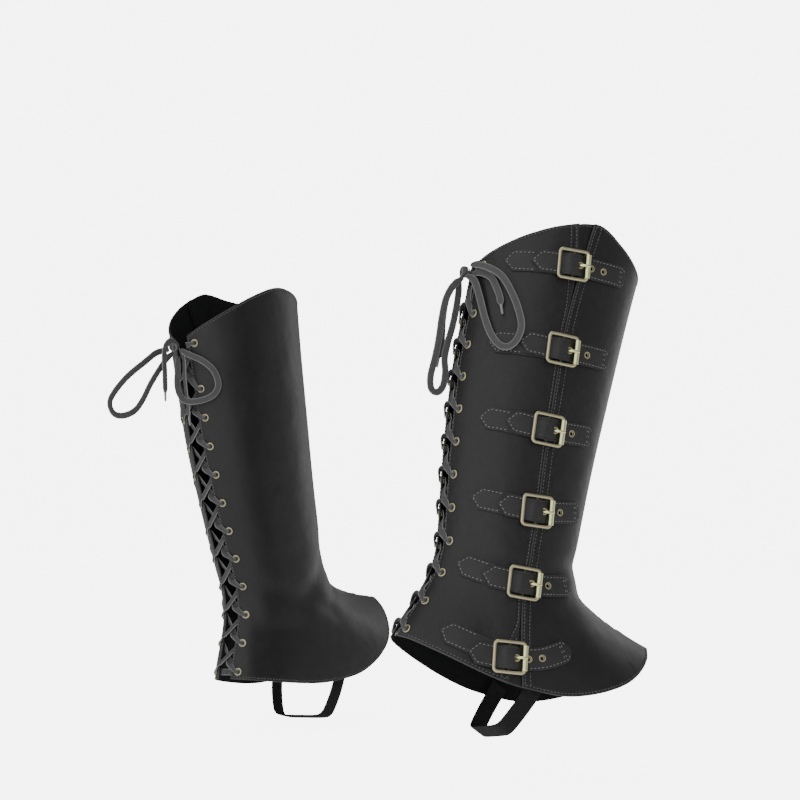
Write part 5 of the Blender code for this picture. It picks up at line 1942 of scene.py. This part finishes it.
@dataclass
class Stirrup:
    """The elastic strap that runs under the arch from hem to hem."""

    form: CoverForm
    posture: Posture
    angle: float = 105.0
    width: float = 16.0
    thick: float = 1.5
    slope: float = 27.0
    rib: float = 1.6
    rib_depth: float = 0.16

    LINE = ((49.0, -12.0), (49.0, 0.0), (46.0, 16.0), (41.0, 31.0), (36.5, 38.0), (28.0, 41.0), (0.0, 41.5))

    def build(self) -> None:
        """Sweep a ribbed section along the strap's line."""
        slope = math.radians(self.slope)
        down = np.array([-math.sin(slope), 0.0, -math.cos(slope)])
        across = np.array([math.cos(slope), 0.0, -math.sin(slope)])
        hem = self.form.point(self.angle, -1.0)
        half = np.array([[hem[0], out, hem[2]] + down * depth for out, depth in self.LINE])
        line = curve_through(np.vstack([half, half[-2::-1] * (1, -1, 1)]), 8)
        ahead = unit(np.gradient(line, axis=0))
        facing = np.cross(ahead, across)
        marks = np.linspace(-0.5, 0.5, 41)
        rib = self.rib_depth * np.cos(2 * np.pi * marks * self.width / self.rib)
        top = (self.thick / 2 + rib - self.rib_depth) * (1 - np.abs(2 * marks) ** 12 * 0.5)
        side = np.concatenate([marks, marks[::-1]]) * self.width
        rings = sections(line, across, facing, side, np.concatenate([top, -top[::-1]]))
        weave = woven(lengths_along(line), side, np.abs(side) / self.width * 2)
        shape = Sculpt()
        shape.loft(self.posture.places(rings), weave=weave)
        cover = self.posture.name
        dress(shape.piece(f"{cover}_elastic_stirrup", [BLACK_ELASTIC], sharp=60.0), Slot.ELASTIC,
              f"{cover}_stirrup_strap")


@dataclass
class Leathers:
    """The three leather panels of a cover, with their eyelets and sewing."""

    form: CoverForm
    posture: Posture
    gusset_lap: float = 5.5
    gusset_gap: float = 0.9
    gusset_thick: float = 1.3
    hole: float = 5.6

    def laced_angle(self, hand: int) -> Callable[[Array], Array]:
        """The laced edge's angle at a station, on the outer side (1) or the inner side (-1)."""

        def angle(station: Array) -> Array:
            """Angle at stations."""
            level = self.form.station_level(hand * self.form.top_back_angle, station)
            return self.form.back_angle(level, hand * self.form.half_gap)

        return angle

    def panels(self) -> list[tuple[Panel, int, int]]:
        """Each panel with its columns, and the side of its eyelets or 0."""
        form = self.form
        cover = self.posture.name
        front = PanelGrid(form, self.laced_angle(-1), form.FRONT_EDGE)
        back = PanelGrid(form, form.REAR_EDGE, self.laced_angle(1))
        gusset = PanelGrid(form, lambda station: form.FRONT_EDGE(station) - self.gusset_lap,
                           lambda station: form.REAR_EDGE(station) + self.gusset_lap, 2.0)
        plain = SewnEdge()
        none = SewnEdge(())
        laced = SewnEdge((1.9,))
        under = -self.gusset_gap
        return [
            (Panel(f"{cover}_front_leather", f"{cover}_front_panel", front, 0.0, form.wall, plain, plain,
                   laced, SewnEdge((2.8, 8.1)), (0.42, 0.42), 0.129), 140, -1),
            (Panel(f"{cover}_outer_back_leather", f"{cover}_outer_back_panel", back, 0.0, form.wall,
                   plain, plain, SewnEdge((2.8, 7.4), form.TUCK), laced, (0.13, 0.40), 0.0392), 30, 1),
            (Panel(f"{cover}_gusset_leather", f"{cover}_side_gusset", gusset, under - self.gusset_thick,
                   under, none, plain, none, none, (0.05, 0.42), 0.0075, pillow=0.0), 8, 0),
        ]

    def build(self) -> tuple[list[SewnLine], list[SewnLine]]:
        """Make the panels.

        Returns:
            Their stitch lines, and the spots of their eyelets.
        """
        sewing = []
        eyelets = []
        for panel, columns, hand in self.panels():
            piece = panel.shape(self.posture, columns)
            if hand:
                holes = []
                for level in self.form.eyelet_levels:
                    angle = self.form.back_angle(level, hand * self.form.eyelet_out)
                    around, up = self.form.slopes(angle, level)
                    place = self.form.raised(angle, level, self.form.wall)
                    hole = SewnLine(place[None], unit(around)[None], unit(np.cross(around, up))[None])
                    holes.append(hole.worn(self.posture))
                punched(piece, holes, self.hole)
                eyelets += holes
            dress(piece, Slot.LEATHER, panel.node)
            sewing += panel.sewn_lines(self.posture)
        return sewing, eyelets


@dataclass
class BootCover:
    """One whole cover."""

    posture: Posture
    form: CoverForm
    knot: tuple[float, float, float]
    laces: tuple[FreeLace, ...]
    seed: int

    def build_free_laces(self) -> None:
        """Make the bow, whose loops and tails are free cords."""
        Bow(self.posture, LaceSize(width=6.8), self.knot, self.laces).build()

    def build(self, stitches: Stitches, lace_eyelets: Eyelets, strap_eyelets: Eyelets) -> None:
        """Make everything else.

        Args:
            stitches: what makes the sewing.
            lace_eyelets: what makes the eyelets of the lacing.
            strap_eyelets: what makes the rings in the straps.
        """
        cover = self.posture.name
        Lacing(self.form, self.posture, LaceSize()).build()
        panel_sewing, eyelets = Leathers(self.form, self.posture).build()
        strap_sewing, rings = Straps(self.form, self.posture).build(Buckle())
        Stirrup(self.form, self.posture).build()
        dress(stitches.piece(f"{cover}_panel_stitches", panel_sewing, PANEL_THREAD, self.seed), None)
        dress(stitches.piece(f"{cover}_strap_stitches", strap_sewing, STRAP_THREAD, self.seed + 1), None)
        dress(lace_eyelets.piece(f"{cover}_lace_eyelets", eyelets, ANTIQUE_BRASS, self.seed + 2), Slot.BRASS)
        dress(strap_eyelets.piece(f"{cover}_strap_rings", rings, ANTIQUE_BRASS, self.seed + 3), Slot.BRASS)


@dataclass
class Studio:
    """Camera, floor and soft lights."""

    eye: tuple[float, float, float] = (-1.0494, -1.6818, -0.0122)
    look: tuple[float, float, float] = (0.5388, 0.8425, 0.0)
    focal_px: float = 1935.0
    frame_px: float = 800.0
    horizon_px: float = 423.86
    sensor: float = 36.0
    floor_drop: float = 0.006
    flat_radius: float = 3.0
    wall_radius: float = 6.0
    wall_height: float = 5.0
    FLAT_RINGS = (0.02, 0.5, 1.5)
    FLOOR_SIDES = 96
    BEND_STEPS = 14
    SKY = 0.25

    def camera(self) -> None:
        """Stand the camera at the photograph's angle."""
        data = bpy.data.cameras.new("camera")
        data.sensor_width = self.sensor
        data.lens = self.focal_px / self.frame_px * self.sensor
        data.shift_y = (self.horizon_px - self.frame_px / 2) / self.frame_px
        item = linked("camera", data)
        item.location = self.eye
        item.rotation_euler = Vector(self.look).to_track_quat("-Z", "Y").to_euler()
        bpy.context.scene.camera = item

    def floor(self) -> None:
        """A pale round floor that curves up far from the covers."""
        level = CAD_BOX[0].z - self.floor_drop
        turns = np.linspace(0, np.pi / 2, self.BEND_STEPS)
        run = self.wall_radius - self.flat_radius
        radii = np.array([*self.FLAT_RINGS, *(self.flat_radius + run * np.sin(turns)), self.wall_radius])
        heights = np.array([0.0, 0.0, 0.0, *(run * (1 - np.cos(turns))), self.wall_height]) + level
        spin = 2 * np.pi * np.arange(self.FLOOR_SIDES) / self.FLOOR_SIDES
        rings = np.stack([radii[:, None] * np.cos(spin), radii[:, None] * np.sin(spin),
                          heights[:, None] + 0 * spin], axis=-1)
        shape = Sculpt()
        count, sides = rings.shape[:2]
        faces = [(row + k, row + (k + 1) % sides, row + sides + (k + 1) % sides, row + sides + k)
                 for row in range(0, (count - 1) * sides, sides) for k in range(sides)]
        faces.append(tuple(range(sides)))
        shape.add(rings.reshape(-1, 3), faces)
        shape.piece("pale_floor", [PALE_PAPER])

    def light(self, name: str, offset: tuple[float, float, float], size: tuple[float, float],
              power: float) -> None:
        """A soft light, placed from the covers' middle.

        Args:
            name: the light's name.
            offset: metres to the camera's right, towards the camera and up.
            size: width and height, metres.
            power: watts.
        """
        middle = (CAD_BOX[0] + CAD_BOX[1]) / 2
        ahead = Vector(self.look)
        right = Vector((ahead.y, -ahead.x, 0))
        data = bpy.data.lights.new(name, "AREA")
        data.shape = "RECTANGLE"
        data.size, data.size_y = size
        data.energy = power
        item = linked(name, data)
        item.location = middle + right * offset[0] - ahead * offset[1] + Vector((0, 0, offset[2]))
        item.rotation_euler = (middle - item.location).to_track_quat("-Z", "Y").to_euler()

    def lights(self) -> None:
        """A broad light round the camera's left side, a small one above and one that rims the fronts."""
        world = bpy.data.worlds.new("soft_white")
        world.use_nodes = True
        ground = world.node_tree.nodes["Background"]
        ground.inputs["Color"].default_value = (1.0, 1.0, 1.0, 1.0)
        ground.inputs["Strength"].default_value = self.SKY
        bpy.context.scene.world = world
        self.light("broad_light", (-1.3, 2.15, 1.2), (5.4, 4.2), 60.0)
        self.light("top_light", (0.0, 0.1, 2.2), (1.0, 1.0), 8.0)
        self.light("front_rim_light", (1.5, -1.5, 0.6), (1.2, 2.0), 6.0)


RIGHT = BootCover(
    Posture("right", -1, (-1.0, -215.0, -123.0), (-10.34, 10.67, -16.0)),
    CoverForm((
        Crease(118.0, -0.12, 18.0, 70.0, 9.0, -1.3, 6.0),
        Crease(128.0, -0.42, -24.0, 64.0, 8.0, -1.2, -5.0),
        Crease(60.0, -0.16, -20.0, 80.0, 10.0, -1.5, 5.0),
        Crease(20.0, -0.30, 4.0, 74.0, 9.0, -1.8, -8.0),
        Crease(12.0, -0.08, 0.0, 60.0, 8.0, -1.0, -5.0),
        Crease(-55.0, -0.22, 22.0, 84.0, 10.0, -1.7, 6.0),
        Crease(-110.0, -0.15, -15.0, 70.0, 10.0, -1.3, 5.0),
        Crease(-130.0, -0.45, 20.0, 60.0, 9.0, -1.2, -4.0),
        Crease(70.0, -0.62, 35.0, 60.0, 11.0, -1.0),
        Crease(-75.0, -0.60, -32.0, 66.0, 11.0, -1.1),
    )),
    (-67.0, 0.0, 251.0),
    (
        FreeLace("near_loop", (-0.55, 0.83, 0.05), (
            (-64.0, 9.5, 257.0), (-56.0, 30.0, 251.0), (-44.0, 44.5, 240.0), (-32.0, 52.0, 219.0),
            (-24.0, 55.5, 197.0), (-25.0, 55.0, 183.0), (-31.0, 52.0, 173.5), (-39.0, 47.5, 173.5),
            (-46.5, 41.5, 183.0), (-52.5, 34.5, 200.0), (-58.0, 27.0, 222.0), (-62.5, 19.5, 238.5),
            (-67.5, 8.5, 245.5))),
        FreeLace("far_loop", (0.0, 1.0, 0.0), (
            (-69.5, 5.0, 243.5), (-79.0, 8.5, 232.0), (-84.5, 9.5, 218.0), (-86.0, 8.5, 200.0),
            (-86.0, 7.0, 178.0), (-87.0, 5.5, 160.0), (-88.5, 4.0, 143.0), (-86.0, 3.0, 131.5),
            (-79.5, 2.5, 129.5), (-74.5, 2.0, 137.0), (-74.0, 2.0, 150.0), (-76.5, 2.5, 163.0),
            (-75.5, 2.5, 177.0), (-72.5, 2.0, 196.0), (-70.5, 1.0, 217.0), (-70.0, 0.0, 241.0))),
        FreeLace("near_tail", (-0.62, 0.78, 0.0), (
            (-62.0, 10.5, 248.0), (-57.5, 22.5, 246.5), (-50.5, 32.0, 241.0), (-46.5, 37.0, 232.0),
            (-43.0, 40.5, 222.5), (-41.0, 42.5, 213.0))),
        FreeLace("far_tail", (0.0, 1.0, 0.0), (
            (-72.0, -4.0, 243.0), (-79.0, -5.0, 226.0), (-81.0, -4.0, 205.0), (-80.0, -3.0, 182.0),
            (-81.0, -2.0, 163.0))),
    ), 11)

LEFT = BootCover(
    Posture("left", 1, (-27.0, 191.0, -169.0), (-5.31, -10.41, 16.0)),
    CoverForm((
        Crease(-62.0, -0.10, 38.0, 96.0, 11.0, -2.0, 6.0),
        Crease(-74.0, -0.34, -42.0, 64.0, 10.0, -1.5, -5.0),
        Crease(-120.0, -0.16, -16.0, 66.0, 10.0, -1.1, 5.0),
        Crease(-140.0, -0.48, 18.0, 56.0, 9.0, -0.9, -4.0),
        Crease(-18.0, -0.26, -5.0, 74.0, 9.0, -1.6, -8.0),
        Crease(8.0, -0.08, 3.0, 60.0, 8.0, -1.0, -5.0),
        Crease(64.0, -0.18, -18.0, 78.0, 10.0, -1.5, 5.0),
        Crease(122.0, -0.14, 16.0, 68.0, 9.0, -1.2, 6.0),
        Crease(126.0, -0.44, -22.0, 62.0, 8.0, -1.1, -5.0),
        Crease(72.0, -0.60, 34.0, 60.0, 11.0, -1.0),
    )),
    (-68.0, 0.0, 257.0),
    (
        FreeLace("far_loop", (0.0, 1.0, 0.0), (
            (-73.5, 3.0, 254.5), (-90.0, 4.5, 254.0), (-109.0, 4.0, 247.0), (-138.0, 3.0, 235.5),
            (-161.0, 2.0, 221.5), (-169.5, 0.5, 212.0), (-167.0, -0.5, 201.5), (-156.0, -1.5, 197.5),
            (-141.0, -2.5, 200.0), (-128.5, -3.5, 209.0), (-115.0, -4.5, 223.0), (-99.0, -5.0, 236.5),
            (-86.0, -4.5, 245.5), (-74.0, -3.0, 250.5))),
        FreeLace("near_loop", (-0.55, -0.83, 0.05), (
            (-67.0, -8.0, 252.0), (-64.5, -17.0, 245.0), (-59.0, -27.5, 237.5), (-53.5, -35.5, 226.5),
            (-51.5, -38.5, 214.0), (-53.5, -37.5, 204.0), (-59.5, -31.5, 197.5), (-68.5, -19.0, 195.5),
            (-73.5, -6.0, 198.5), (-75.0, -1.0, 207.0), (-74.5, -0.5, 218.0), (-72.5, -2.5, 230.0),
            (-70.0, -4.5, 245.5))),
        FreeLace("far_tail", (0.0, 1.0, 0.0), (
            (-72.0, -7.5, 261.0), (-80.0, -10.0, 263.5), (-88.0, -10.5, 260.0), (-93.0, -10.0, 250.0),
            (-96.5, -9.5, 232.0), (-101.0, -9.0, 211.0))),
        FreeLace("near_tail", (-0.98, 0.2, 0.0), (
            (-62.8, -6.5, 247.0), (-66.0, -7.5, 236.0), (-68.0, -6.5, 222.0), (-69.0, -5.5, 208.0),
            (-69.5, -4.5, 194.0), (-70.0, -3.5, 180.0))),
    ), 31)


def main() -> None:
    """Build the camera, the free laces, both covers and the studio, in that order."""
    logging.basicConfig(level=logging.INFO, format="%(name)s: %(message)s")
    studio = Studio()
    studio.camera()
    covers = (RIGHT, LEFT)
    for cover in covers:
        cover.build_free_laces()
    stitches = Stitches()
    lace_eyelets = Eyelets("lace_eyelets", hole=5.3, rim=8.4, height=1.6, depth=2.0)
    strap_eyelets = Eyelets("strap_rings", hole=4.3, rim=7.2, height=1.0, depth=1.3)
    for cover in covers:
        cover.build(stitches, lace_eyelets, strap_eyelets)
    studio.floor()
    studio.lights()


if __name__ == "__main__":
    main()
